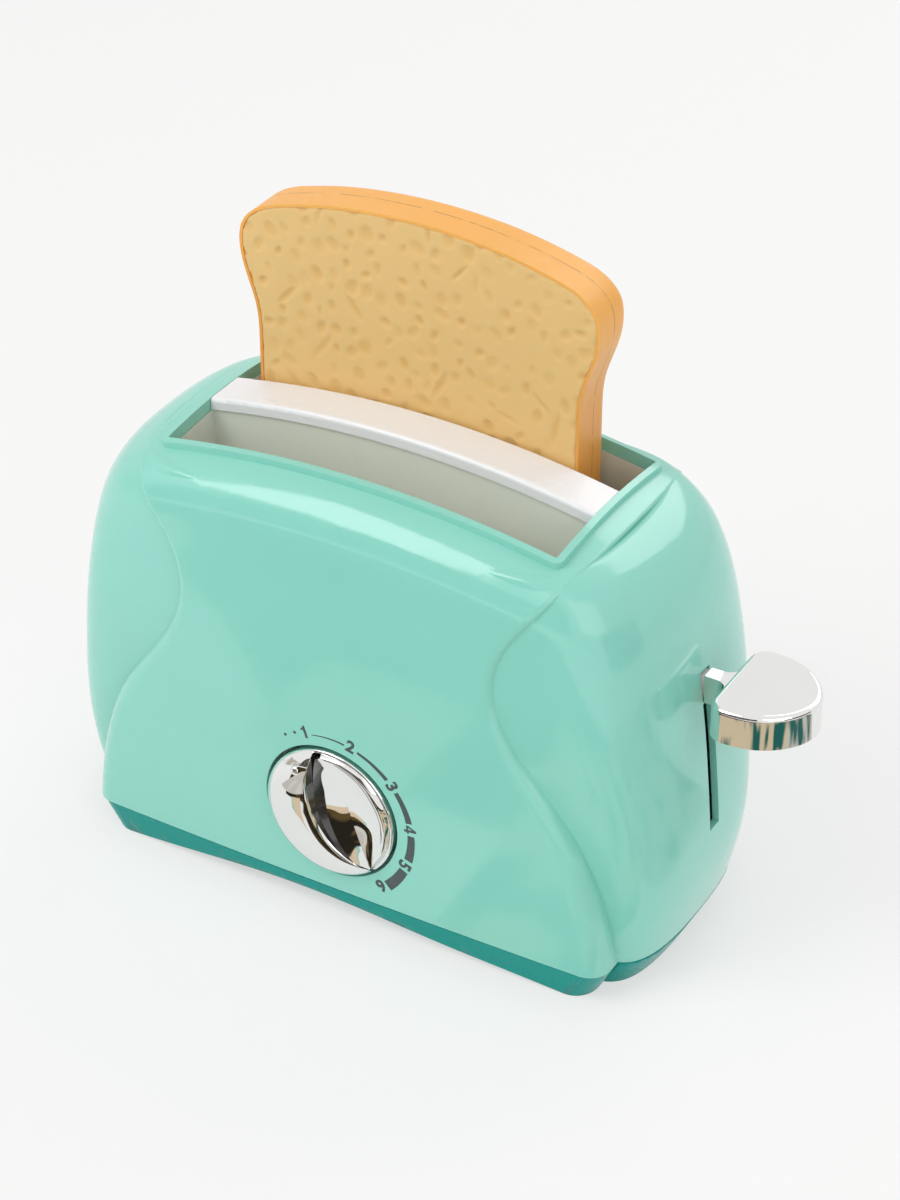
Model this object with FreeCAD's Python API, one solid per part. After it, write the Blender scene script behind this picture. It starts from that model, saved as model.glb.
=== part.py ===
import FreeCAD, Part
import os
from math import cos, pi, radians, sin, sqrt

# Toy toaster, in millimetres. X runs along the body towards the lever, the dial faces -Y, Z is up.
# The origin is the middle of the body's footprint, on the surface that the toaster stands on.

V = FreeCAD.Vector
X_AXIS = V(1, 0, 0)
Y_AXIS = V(0, 1, 0)
Z_AXIS = V(0, 0, 1)

# ---- housing ----
FOOT_Z = 10.2               # lower edge of the two shells
CHEEK_TOP_Z = 135.4         # top of the rounded ends
CHEEK_HALF_LENGTH = 101.7
CHEEK_HALF_DEPTH = 43.4
SIDE_ROUNDNESS = 2.5        # exponent of the plan outline across the body
WALL = 2.0
# rounded ends: share of their height, how far end and side sit in, exponent along the body
CHEEK_STATIONS = [
    (0.000, 3.5, 8.4, 22.0),
    (0.090, 1.2, 7.6, 24.0),
    (0.180, 0.0, 6.6, 24.0),
    (0.290, 0.3, 4.6, 22.0),
    (0.480, 2.5, 1.6, 18.0),
    (0.630, 4.9, 0.0, 15.0),
    (0.760, 7.4, 0.1, 12.5),
    (0.855, 10.4, 0.4, 10.5),
    (0.923, 14.7, 0.9, 9.5),
    (0.971, 20.0, 3.0, 9.5),
    (0.992, 24.4, 3.6, 9.0),
    (1.000, 27.7, 5.4, 9.0),
]
PLAN_STEPS = 48             # spans of each plan outline

TOP_Z = 136.4               # belt's top edge beside the slot's corner
BELT_HALF_DEPTH = 44.6
BELT_BULGE = 1.3            # how far the middle of the front stands out
BELT_LEAN = 1.5             # how far the front leans in below the shoulder
LEAN_Z = 92.0               # height where the lean starts
SHOULDER_R = 15.3
SHOULDER_TURN = radians(80)
CROWN_RISE = 5.9            # rise of the top along its length
ARCH_RISE = 2.6             # rise of the top across its width
# side edge of the belt: share of its height, half width
BELT_EDGE = [
    (0.000, 88.8),
    (0.125, 86.5),
    (0.240, 82.8),
    (0.360, 76.5),
    (0.480, 65.9),
    (0.600, 56.2),
    (0.700, 52.4),
    (0.790, 54.4),
    (0.870, 60.2),
    (0.940, 67.0),
    (1.000, 72.5),
]
BELT_FOOT_ROUND = 7.0       # rounding of the belt's side edge at the foot
BELT_TOP_ROUND = 1.0        # and at the top
BELT_SIDE_WALL = 4.5        # wall behind the belt's rounded side edge

# ---- bread slots ----
SLOT_HALF_LENGTH = 63.75
SLOT_HALF_WIDTH = 29.4
SLOT_CORNER = 0.8
RIM_WIDTH = 2.0
RIM_HEIGHT = 2.0
BAR_HALF_WIDTH = 7.6
BAR_RISE = 6.3
BAR_DEPTH = 3.8
BAR_EDGE = 1.3
BAR_TONGUE = 6.0
HOLLOW_HALF = 5.4           # half width of the gap between the liner's two middle walls
LINER_WALL = 1.5
LINER_INSET = 0.4           # how far the liner's face sits inside the rim
LINER_FOOT_Z = 50.0
BAR_OVERHANG = 0.8          # how far the bar stands proud of the liner's middle walls
LEG = 5.0
LEG_X = 62.0
LEG_Y = 28.0
LEG_SEAT = 4.2              # half width of the seats that hold the legs
BRACKET_BOSS = 11.0

# ---- base ----
BASE_GAP = 0.3              # shadow gap under the shells
BASE_TAPER_X = 5.0
BASE_TAPER_Y = 1.4
BASE_WALL = 2.2
BASE_FLOOR_Z = 6.2          # upper side of the base's floor
BASE_FLOOR = 2.0
BASE_ARCH = 3.6             # rise of the bottom edge between the feet
FOOT_HALF_LENGTH = 80.0
BASE_CORNER = 8.0
REST_PAD_R = 9.0            # middle foot under the floor
LIP_TOP_Z = 13.5
LIP_WALL = 1.6

# ---- clearances ----
FIT = 0.3                   # between parts that only lie side by side
RUN = 0.05                  # radial, round shafts and rods
TOUCH = 0.05                # between pieces that sit on each other

# ---- screws ----
SCREW_R = 1.2
PILOT_R = 1.25
SCREW_HEAD_R = 2.8
SCREW_HEAD = 2.0
CLEAR_R = 1.6
BOSS_R = 4.2
SHELL_SCREW_PLACES = [(92.0, 30.0), (77.0, 121.0)]
SHELL_SCREW_REACH = 11.0    # how far a screw goes past the parting plane
SHELL_HEAD_Y = 14.0
BASE_SCREW_PLACE = (86.0, 21.0)
BASE_POST_R = 3.6
BASE_POST_TOP_Z = 24.0
BASE_SCREW_REACH = 10.0

# ---- lever and carriage ----
LEVER_SLOT_HALF = 2.8
LEVER_SLOT_TOP_Z = 95.6
LEVER_SLOT_FOOT_Z = 42.5
NECK_HALF = 2.4
NECK_TOP_Z = 95.2
NECK_START_X = 97.0
PADDLE_X = 104.4            # back edge of the paddle
PADDLE_TOP_Z = 96.7
PADDLE_HEIGHT = 10.8
PADDLE_WALL = 1.6
PADDLE_EDGE = 1.5
PADDLE_BACK_HALF = 11.5     # half width of the paddle's straight back edge
PADDLE_CORNER = (106.0, 15.5)
# one side of the paddle's front, seen from above
PADDLE_FRONT = [(110.5, 17.0), (117.5, 16.1), (124.5, 12.4), (129.4, 6.6), (131.2, 0.0)]
PADDLE_BOSS_R = 3.2
PADDLE_SCREW_HEAD_R = 2.4
PADDLE_SCREW_REACH = 3.0    # how far the screw goes past the arm's pad
FLARE_REACH = 4.0           # how far the neck's flare starts behind the paddle
FLARE_HALF = 7.5
ARM_HALF = 2.2
ARM_FOOT_Z = 85.2
ARM_TOP_Z = 94.5
TONGUE_HALF = 1.2
TONGUE_Z = (88.4, 91.0)
TONGUE_PAD_X = (108.0, 118.0)
TONGUE_PAD_HALF = 4.0
ROD_X = 80.0
ROD_SPREAD = 10.0
ROD_R = 1.5
ROD_SOCKET = 3.0            # depth of the rods' sockets in the base
ROD_SOCKET_WALL = 1.7
CARRIAGE_HALF_X = 6.0
CARRIAGE_HALF_Y = 21.0
CARRIAGE_HEIGHT = 10.0
CARRIAGE_CORNER = 1.5
TRAY_TOP_Z = 96.0
TRAY = 2.0
TRAY_Y = 17.6
TRAY_HALF_WIDTH = 8.8
TRAY_HALF_LENGTH = 57.0
TRAY_ARM_HALF = 1.5
TRAY_ARM_START = 53.0
TRAY_ARM_HEIGHT = 7.0
TRAY_ARM_REACH = 3.0        # how far the arm goes into the carriage
TRAY_CORNER = 2.0
TRAY_WINDOW_PLACES = (-38.0, -13.0, 13.0, 38.0)
TRAY_WINDOW_HALF = 8.0
TRAY_FRAME = 3.0            # width left beside the windows
BUMPER = 2.2
BUMPER_R = 3.4
BRACKET = 3.0
BRACKET_HEIGHT = 14.0
BRACKET_HALF = 13.5
BRACKET_SCREW_REACH = 10.0
BRACKET_SCREW_HEAD_R = 2.3
BRACKET_SCREW_RISE = 4.5    # lower screw, above the shelf
BRACKET_SCREW_DROP = 3.0    # upper screw, below the flange's top
GUSSET = 2.0
SMALL_HEAD = 1.6            # height of the smaller screw heads
CARRIAGE_TOP_Z = 94.0
SPRING_WIRE_R = 0.5
SPRING_R = 3.4
SPRING_TURNS = 12

# ---- dial and timer ----
DIAL_X = -0.4
DIAL_Z = 38.7
RECESS_R = 22.6
RECESS_FLOOR_Y = -39.5
RECESS_WALL = 1.8
WITHIN_WALL_Y = -44.9       # where the cup and the posts end, halfway through the front wall
KNOB_R = 21.6
KNOB_EDGE_Y = 47.5          # front of the knob's rim, measured back from the origin
KNOB_RIM = 1.4
KNOB_BACK_Y = 40.2
KNOB_FIELD_Y = 45.7         # surface between the knob's rim and its raised parts
KNOB_BORE_Y = 45.0
GRIP_TIPS = [(-3.4, 21.1), (15.35, -14.85)]
GRIP_LEFT = 9.8             # how far the grip reaches either side of the line between its tips
GRIP_RIGHT = 9.0
GRIP_Y = 51.6               # front of the grip's crest
GRIP_FALL = 3.0             # fall of the crest towards the tips
GRIP_TURN_R = 12.5          # how round the grip is across
CRESCENT_Y = 50.8
CRESCENT_GROOVE = 0.8
KNOB_HOLLOW = 4.0           # depth of the room behind the knob's face
KNOB_HUB_WALL = 3.0
BEAD_R = 1.7
BEAD_SINK = 1.4             # how far the bead's middle lies under the crescent's highest point
BEAD_REACH = 16.0
BEAD_TURN = radians(-41)
SHAFT_R = 2.5
PLATE_FRONT_Y = 36.4        # front of the timer's front plate
TIMER_DEPTH = 17.0
PLATE = 1.2
PLATE_HALF_LENGTH = 32.0
PLATE_FOOT_Z = 9.5
PLATE_TOP_Z = 49.4
PLATE_CORNER = 4.0
PILLAR_R = 2.6
PILLAR_INSET = 4.0
TIMER_SCREW_R = 1.4
TIMER_SCREW_HEAD_R = 2.4
TIMER_SCREW_TIP_Y = 41.5
POST_R = 3.3
GEAR_MODULE = 0.5
MAIN_TEETH = 48
PINION_TEETH = 12
SECOND_TEETH = 40
ESCAPE_PINION_TEETH = 10
ESCAPE_TEETH = 15
ESCAPE_R = 7.2
SECOND_TURN = radians(210)
ESCAPE_TURN = radians(-50)
PALLET_TURN = radians(-5)
PALLET_REACH = 11.6
PALLET_PIN_REACH = 8.9
PALLET_SPAN = radians(38)
ARBOR_R = 1.2
ARBOR_PLAY = 0.1            # how far an arbor ends inside its plates
COLLAR_R = 2.0
PINION_MARGIN = 0.6         # how much wider a pinion is than the wheel that drives it
WHEEL_HUB_WALL = 2.0
WHEEL_HOLES = 4
WHEEL_HOLE_REACH = 8.0
WHEEL_HOLE_R = 2.2
ESCAPE_TOOTH = 2.0
PALLET_YOKE = 1.4
PALLET_YOKE_GAP = 1.2       # between the escape wheel and the yoke behind it
PALLET_HUB_R = 2.4
PALLET_ARM_HALF = 0.9
PALLET_EYE_R = 1.1
PALLET_PIN_R = 0.6
# front and back of each wheel, as distances from the parting plane
MAIN_WHEEL_Y = (33.0, 31.0)
SECOND_WHEEL_Y = (27.0, 25.0)
ESCAPE_WHEEL_Y = (23.2, 21.8)
MAINSPRING_Y = (30.2, 28.0)
MAINSPRING_R = 3.3           # inner radius
MAINSPRING_STRIP = 0.4
MAINSPRING_PITCH = 1.1
MAINSPRING_HALF_TURNS = 11
MAINSPRING_PIN_R = 1.0
MAINSPRING_PIN_REACH = 1.6    # from the outermost turn to the middle of its pin
CAM_HIGH = 11.0
CAM_LOW = 7.0
CAM_HUB_WALL = 1.8
CAM_HUB = 3.0
LATCH_PLANE_Y = 12.2        # middle of the latch and the cam, in front of the parting plane
LATCH_HALF = 1.2
LATCH_PIVOT_X = 64.0
LATCH_PIVOT_Z = 15.0
LATCH_PIN_R = 1.5
LATCH_HUB_R = 3.4
LATCH_BAR = 3.2
LATCH_EARS = [(14.0, 16.0), (8.4, 10.4)]
LATCH_EAR_HALF = 4.0
LATCH_PAD_HALF = 5.5
LATCH_GAP = 0.3             # between the cam and the pad under it
LATCH_ARM_X = (64.5, 67.5)
NOSE_X = 70.6
NOSE_Z = (47.0, 50.0)
TOOTH_START_X = 71.0
TOOTH_HEIGHT = 4.0
LATCH_SPRING_X = 30.0
LATCH_SPRING_R = 2.2
LATCH_SPRING_TURNS = 5

# ---- toast ----
TOAST_X = -3.3
TOAST_Y = 16.8
TOAST_THICKNESS = 17.0
TOAST_CORNER = 6.0
CRUST_WALL = 2.6
CRUST_FRONT_RIM = 0.9       # width of crust left round the crumb, front face
CRUST_REAR_RIM = 4.2        # and rear face
CRUST_REAR_ROUND = 4.0
CRUST_LEDGE = 1.7           # ledge that a crumb plate rests on
CRUMB = 1.8
CRUMB_PLAY = 0.12
# side of the slice above its straight part: distance from the middle, height
TOAST_SIDE = [
    (53.0, 60.0),
    (53.8, 70.0),
    (56.8, 79.5),
    (58.8, 89.5),
    (57.6, 96.0),
    (53.0, 101.0),
    (44.0, 104.6),
    (30.0, 107.8),
    (15.0, 109.7),
    (0.0, 110.3),
]


# ---- small tools ----
def box(x0, x1, y0, y1, z0, z1):
    return Part.makeBox(x1 - x0, y1 - y0, z1 - z0, V(x0, y0, z0))


def rod(radius, start, end):
    axis = end - start
    return Part.makeCylinder(radius, axis.Length, start, axis)


def tube(outer, inner, start, end):
    return rod(outer, start, end).cut(rod(inner, start, end))


def line(start, end):
    return Part.makeLine(start, end)


def spline(points, start=None, end=None):
    curve = Part.BSplineCurve()
    if start is None:
        curve.interpolate(points)
    else:
        curve.interpolate(Points=points, InitialTangent=start, FinalTangent=end, Scale=False)
    return curve.toShape()


def solid_of(edges, depth):
    wire = Part.Wire(Part.__sortEdges__(edges))
    return Part.Face(wire).extrude(depth)


def plate(points, depth):
    return Part.Face(Part.makePolygon(points + points[:1])).extrude(depth)


def round_block(half_x, half_y, corner, z0, z1):
    block = box(-half_x, half_x, -half_y, half_y, z0, z1)
    upright = [e for e in block.Edges if abs(e.Vertexes[0].Z - e.Vertexes[1].Z) > 1e-6]
    return block.makeFillet(corner, upright)


def joined(shapes):
    return shapes[0].multiFuse(shapes[1:]) if len(shapes) > 1 else shapes[0]


def along(start, turn, reach):
    """Place at a distance and direction from another, both as (x, z)."""
    return start[0] + reach * cos(turn), start[1] + reach * sin(turn)


def save(name, shape):
    shape.exportStep("parts/" + name + ".step")


# ---- places worked out from the sizes ----
BRACKET_Z = CARRIAGE_TOP_Z + BUMPER
LINER_OUT_X = SLOT_HALF_LENGTH - LINER_INSET + LINER_WALL
LINER_OUT_Y = SLOT_HALF_WIDTH - LINER_INSET + LINER_WALL
TONGUE_MIDDLE_X = (TONGUE_PAD_X[0] + TONGUE_PAD_X[1]) / 2
DIAL = (DIAL_X, DIAL_Z)
SECOND = along(DIAL, SECOND_TURN, GEAR_MODULE * (MAIN_TEETH + PINION_TEETH) / 2)
ESCAPE = along(SECOND, ESCAPE_TURN, GEAR_MODULE * (SECOND_TEETH + ESCAPE_PINION_TEETH) / 2)
PALLET = along(ESCAPE, PALLET_TURN, PALLET_REACH)
TIMER_BACK_Y = PLATE_FRONT_Y - TIMER_DEPTH
MAINSPRING_PIN_X = DIAL_X + MAINSPRING_R + MAINSPRING_PITCH * MAINSPRING_HALF_TURNS / 2 + MAINSPRING_PIN_REACH
LATCH_PAD_Z = DIAL_Z - CAM_HIGH - LATCH_GAP
TOAST_Z = TRAY_TOP_Z + TOUCH


# ---- outer form ----
def plan_point(a, b, squareness, angle):
    along = abs(cos(angle))
    across = sin(angle)
    low, high = 1.0, 1.5
    for _ in range(40):
        middle = (low + high) / 2
        if (middle * along) ** squareness + (middle * across) ** SIDE_ROUNDNESS > 1:
            high = middle
        else:
            low = middle
    return a * low * cos(angle), -b * low * across


def plan_curve(a, b, squareness, z):
    points = []
    for step in range(PLAN_STEPS + 1):
        x, y = plan_point(a, b, squareness, pi * step / PLAN_STEPS)
        points.append(V(x, y, z))
    points[-1] = V(-a, 0, z)
    return spline(points, -Y_AXIS, Y_AXIS), points[0], points[-1]


def cheek_half(inset, foot, top):
    wires = []
    for share, end_in, side_in, squareness in CHEEK_STATIONS:
        a = CHEEK_HALF_LENGTH - end_in - inset
        b = CHEEK_HALF_DEPTH - side_in - inset
        curve, first, last = plan_curve(a, b, squareness, foot + share * (top - foot))
        wires.append(Part.Wire([curve, line(last, first)]))
    return Part.makeLoft(wires, True, False)


def crown(x):
    return CROWN_RISE * (1 - (x / SLOT_HALF_LENGTH) ** 2)


def face_y(x):
    return BELT_HALF_DEPTH + BELT_BULGE * (1 - (x / BELT_EDGE[0][1]) ** 2)


def top_edge(x):
    """Depth and height where the shoulder ends and the arch begins, at a place along the body."""
    centre = face_y(x) - BELT_LEAN - SHOULDER_R
    height = TOP_Z - SHOULDER_R + crown(x)
    return centre + SHOULDER_R * cos(SHOULDER_TURN), height + SHOULDER_R * sin(SHOULDER_TURN)


def top_z(x, y):
    edge, height = top_edge(x)
    return height + ARCH_RISE * (1 - (y / edge) ** 2)


def belt_profile(x, inset, foot):
    face = face_y(x) - inset
    centre_y = face_y(x) - BELT_LEAN - SHOULDER_R
    centre_z = TOP_Z - SHOULDER_R + crown(x)
    radius = SHOULDER_R - inset
    points = [V(x, -face, foot), V(x, -face, (foot + LEAN_Z) / 2), V(x, -face, LEAN_Z)]
    for share in (0.25, 0.5, 0.75):
        lean = BELT_LEAN * (3 * share ** 2 - 2 * share ** 3)
        points.append(V(x, lean - face, LEAN_Z + share * (centre_z - LEAN_Z)))
    for step in range(6):
        turn = SHOULDER_TURN * step / 5
        points.append(V(x, -centre_y - radius * cos(turn), centre_z + radius * sin(turn)))
    edge_y = -points[-1].y
    edge_z = points[-1].z
    for share in (0.66, 0.33, 0.0):
        points.append(V(x, -edge_y * share, edge_z + ARCH_RISE * (1 - share ** 2)))
    curve = spline(points, Z_AXIS, Y_AXIS)
    corner = V(x, 0, foot)
    return Part.Wire([curve, line(points[-1], corner), line(corner, points[0])])


def belt_block(inset, foot):
    reach = BELT_EDGE[0][1] + 4
    stations = [reach * step / 4 for step in range(-4, 5)]
    return Part.makeLoft([belt_profile(x, inset, foot) for x in stations], True, False)


def belt_sides(inset):
    height = TOP_Z - FOOT_Z
    points = [V(half - inset, 0, FOOT_Z + share * height) for share, half in BELT_EDGE]
    low = V(points[0].x, 0, FOOT_Z - 4)
    high = V(points[-1].x, 0, TOP_Z + 20)
    right = [line(low, points[0]), spline(points), line(points[-1], high)]
    left = [edge.mirror(V(), X_AXIS) for edge in right]
    ends = [line(V(-low.x, 0, low.z), low), line(V(-high.x, 0, high.z), high)]
    return solid_of(right + left + ends, V(0, -BELT_HALF_DEPTH - 20, 0))


def belt_half(inset, side_inset, foot):
    return belt_block(inset, foot).common(belt_sides(side_inset))


def rounded_belt():
    belt = belt_half(0, 0, FOOT_Z)
    tall = (TOP_Z - FOOT_Z) * 0.8
    for side in (-1, 1):
        edges = [
            e
            for e in belt.Edges
            if e.BoundBox.ZLength > tall and e.BoundBox.YLength > SHOULDER_R and side * e.CenterOfMass.x > 0
        ]
        rising = edges[0].valueAt(edges[0].FirstParameter).z < TOP_Z / 2
        radii = (BELT_FOOT_ROUND, BELT_TOP_ROUND) if rising else (BELT_TOP_ROUND, BELT_FOOT_ROUND)
        belt = belt.makeFillet(*radii, edges)
    return belt


def outer_half():
    return cheek_half(0, FOOT_Z, CHEEK_TOP_Z).fuse(rounded_belt())


def cavity_half():
    foot = FOOT_Z - 1
    cheek = cheek_half(WALL, foot, CHEEK_TOP_Z - WALL)
    return cheek.fuse(belt_half(WALL, BELT_SIDE_WALL, foot))


def slot_opening(grow=0.0, corner=SLOT_CORNER):
    return round_block(SLOT_HALF_LENGTH + grow, SLOT_HALF_WIDTH + grow, corner, LINER_FOOT_Z, TOP_Z + 20)


def rim_half():
    crest = belt_block(0, FOOT_Z)
    crest.translate(V(0, 0, RIM_HEIGHT))
    return slot_opening(RIM_WIDTH, SLOT_CORNER + RIM_WIDTH).common(crest)


def shell_screw_axes():
    return [(side * x, z) for x, z in SHELL_SCREW_PLACES for side in (-1, 1)]


def base_screw_axes():
    return [(side * BASE_SCREW_PLACE[0], BASE_SCREW_PLACE[1]) for side in (-1, 1)]


def base_post(x, outer):
    y = -BASE_SCREW_PLACE[1]
    post = rod(BASE_POST_R, V(x, y, BASE_FLOOR_Z + TOUCH), V(x, y, BASE_POST_TOP_Z))
    far = x + (12 if x > 0 else -12)
    web = box(min(x, far), max(x, far), y - 1, y + 1, LIP_TOP_Z + 1, BASE_POST_TOP_Z).common(outer)
    return post.fuse(web)


def shell_half(outer, cavity):
    skin = outer.fuse(rim_half()).cut(cavity).cut(slot_opening())
    bosses = []
    for x, z in shell_screw_axes():
        bosses.append(rod(BOSS_R, V(x, 0, z), V(x, -BELT_HALF_DEPTH - 5, z)).common(outer))
    posts = [base_post(x, outer) for x, _ in base_screw_axes()]
    skin = skin.multiFuse(bosses + posts)
    cutters = [
        box(
            CHEEK_HALF_LENGTH - 12,
            CHEEK_HALF_LENGTH + 5,
            -LEVER_SLOT_HALF,
            1,
            LEVER_SLOT_FOOT_Z,
            LEVER_SLOT_TOP_Z,
        )
    ]
    for x, y in base_screw_axes():
        cutters.append(rod(PILOT_R, V(x, -y, 0), V(x, -y, BASE_FLOOR_Z + BASE_SCREW_REACH + 1)))
    return skin.cut(joined(cutters))


def dial_cup():
    back = V(DIAL_X, RECESS_FLOOR_Y + RECESS_WALL, DIAL_Z)
    return rod(RECESS_R + RECESS_WALL, back, V(DIAL_X, WITHIN_WALL_Y, DIAL_Z))


def front_shell(skin):
    posts = [rod(POST_R, V(x, -PLATE_FRONT_Y, z), V(x, WITHIN_WALL_Y, z)) for x, z in timer_corners()]
    shell = skin.multiFuse([dial_cup()] + posts)
    shaft_hole = rod(SHAFT_R + FIT, V(DIAL_X, -30, DIAL_Z), V(DIAL_X, -50, DIAL_Z))
    recess = rod(RECESS_R, V(DIAL_X, RECESS_FLOOR_Y, DIAL_Z), V(DIAL_X, -60, DIAL_Z))
    cutters = [recess, shaft_hole]
    for x, z in timer_corners():
        cutters.append(rod(TIMER_SCREW_R + TOUCH, V(x, -30, z), V(x, -TIMER_SCREW_TIP_Y - 0.5, z)))
    for x, z in shell_screw_axes():
        cutters.append(rod(PILOT_R, V(x, 1, z), V(x, -SHELL_SCREW_REACH - 2, z)))
    for cutter in cutters:
        shell = shell.cut(cutter)
    return shell


def rear_shell(skin):
    shell = skin.mirror(V(), Y_AXIS)
    cutters = []
    for x, z in shell_screw_axes():
        cutters.append(rod(CLEAR_R, V(x, -1, z), V(x, SHELL_HEAD_Y + 1, z)))
        cutters.append(rod(SCREW_HEAD_R + FIT, V(x, SHELL_HEAD_Y, z), V(x, BELT_HALF_DEPTH + 5, z)))
    return shell.cut(joined(cutters))


def screw(head_end, direction, head_r, head, shank_r, reach):
    """Pan head with a cross recess; the head's underside is at head_end, the shank runs along direction."""
    along = V(direction)
    cap = rod(head_r, head_end, head_end - along * head)
    shank = rod(shank_r, head_end - along * 0.2, head_end + along * reach)
    side = X_AXIS if abs(along.x) < 0.5 else Y_AXIS
    other = along.cross(side)
    blades = []
    for wide, thin in ((side, other), (other, side)):
        corner = head_end - along * (head + 0.1) - wide * head_r * 0.55 - thin * 0.3
        blade = Part.Face(
            Part.makePolygon(
                [
                    corner,
                    corner + wide * head_r * 1.1,
                    corner + wide * head_r * 1.1 + thin * 0.6,
                    corner + thin * 0.6,
                    corner,
                ]
            )
        ).extrude(along * (head * 0.5 + 0.1))
        blades.append(blade)
    return cap.fuse(shank).cut(joined(blades))


def shell_screws():
    reach = SHELL_HEAD_Y + SHELL_SCREW_REACH
    return Part.makeCompound(
        [
            screw(V(x, SHELL_HEAD_Y, z), -Y_AXIS, SCREW_HEAD_R, SCREW_HEAD, SCREW_R, reach)
            for x, z in shell_screw_axes()
        ]
    )


def base_screws():
    under = BASE_FLOOR_Z - BASE_FLOOR
    reach = BASE_FLOOR + BASE_SCREW_REACH
    return Part.makeCompound(
        [
            screw(V(x, side * y, under), Z_AXIS, SCREW_HEAD_R, SCREW_HEAD, SCREW_R, reach)
            for x, y in base_screw_axes()
            for side in (-1, 1)
        ]
    )


# ---- base ----
def base_cheek(inset, z):
    a = CHEEK_HALF_LENGTH - CHEEK_STATIONS[0][1] - inset[0]
    b = CHEEK_HALF_DEPTH - CHEEK_STATIONS[0][2] - inset[1]
    curve, first, last = plan_curve(a, b, CHEEK_STATIONS[0][3], z)
    return Part.Wire([curve, line(last, first)])


def base_belt(inset, corner, z):
    half = BELT_EDGE[0][1] - inset[0]
    edge = BELT_HALF_DEPTH - inset[1]
    turn = corner * (1 - sqrt(0.5))
    right = [V(half, 0, z), V(half, corner - edge, z)]
    bend = [right[1], V(half - turn, turn - edge, z), V(half - corner, -edge, z)]
    middle = V(0, -edge - BELT_BULGE, z)
    left = [V(-p.x, p.y, z) for p in right]
    left_bend = [V(-p.x, p.y, z) for p in bend]
    return Part.Wire(
        [
            line(*right),
            Part.Arc(*bend).toShape(),
            Part.Arc(bend[2], middle, left_bend[2]).toShape(),
            Part.Arc(*reversed(left_bend)).toShape(),
            line(left[1], left[0]),
            line(left[0], right[0]),
        ]
    )


def base_block(cheek_inset, belt_inset, corner, z0, z1, taper=(0, 0)):
    """Solid with the base's outline: the insets hold at z1, and taper draws the outline in towards z = 0."""
    low = 1 - z0 / z1
    pairs = []
    for make, inset, extra in ((base_cheek, cheek_inset, ()), (base_belt, belt_inset, (corner,))):
        deep = (inset[0] + taper[0] * low, inset[1] + taper[1] * low)
        pairs.append(Part.makeLoft([make(deep, *extra, z0), make(inset, *extra, z1)], True, True))
    half = pairs[0].fuse(pairs[1])
    return half.fuse(half.mirror(V(), Y_AXIS)).removeSplitter()


def base_pan():
    taper = (BASE_TAPER_X, BASE_TAPER_Y)
    top = FOOT_Z - BASE_GAP
    inner = (BASE_WALL, BASE_WALL)
    under = (BASE_WALL + taper[0], BASE_WALL + taper[1])
    lip_out = WALL + FIT
    lip_in = lip_out + LIP_WALL
    lip_side = BELT_SIDE_WALL + FIT + 0.7
    bend = BASE_CORNER - BASE_WALL
    pan = base_block((0, 0), (0, 0), BASE_CORNER, 0, top, taper)
    pan = pan.cut(base_block(inner, inner, bend, BASE_FLOOR_Z, top + 1, taper))
    pan = pan.cut(base_block(under, under, bend, -1, BASE_FLOOR_Z - BASE_FLOOR))
    lip = base_block((lip_out, lip_out), (lip_side, lip_out), bend, top - 3, LIP_TOP_Z)
    room = base_block((lip_in, lip_in), (lip_side + LIP_WALL, lip_in), bend - 1, top - 4, LIP_TOP_Z + 1)
    half = PLATE_HALF_LENGTH + FIT
    lip = lip.cut(room).cut(box(DIAL_X - half, DIAL_X + half, -60, -30, top, LIP_TOP_Z + 1))
    body = pan.fuse(lip).multiFuse(base_features())
    body = body.cut(joined(base_cutters()))
    return body.fuse(rod(REST_PAD_R, V(), V(0, 0, BASE_FLOOR_Z - 0.5)))


def base_features():
    floor = BASE_FLOOR_Z - 0.5
    solids = []
    for side in (-1, 1):
        y = side * ROD_SPREAD
        ends = [V(ROD_X, y, floor), V(ROD_X, y, BASE_FLOOR_Z + ROD_SOCKET)]
        solids.append(rod(ROD_R + ROD_SOCKET_WALL, *ends))
    for x in (-1, 1):
        for y in (-1, 1):
            seat = box(-LEG_SEAT, LEG_SEAT, -LEG_SEAT, LEG_SEAT, floor, BASE_FLOOR_Z + ROD_SOCKET)
            seat.translate(V(x * LEG_X, y * LEG_Y, 0))
            solids.append(seat)
    x = LATCH_PIVOT_X
    for y0, y1 in LATCH_EARS:
        low = box(x - LATCH_EAR_HALF, x + LATCH_EAR_HALF, -y1, -y0, floor, LATCH_PIVOT_Z)
        solids.append(low.fuse(rod(LATCH_EAR_HALF, V(x, -y1, LATCH_PIVOT_Z), V(x, -y0, LATCH_PIVOT_Z))))
    return solids


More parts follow.
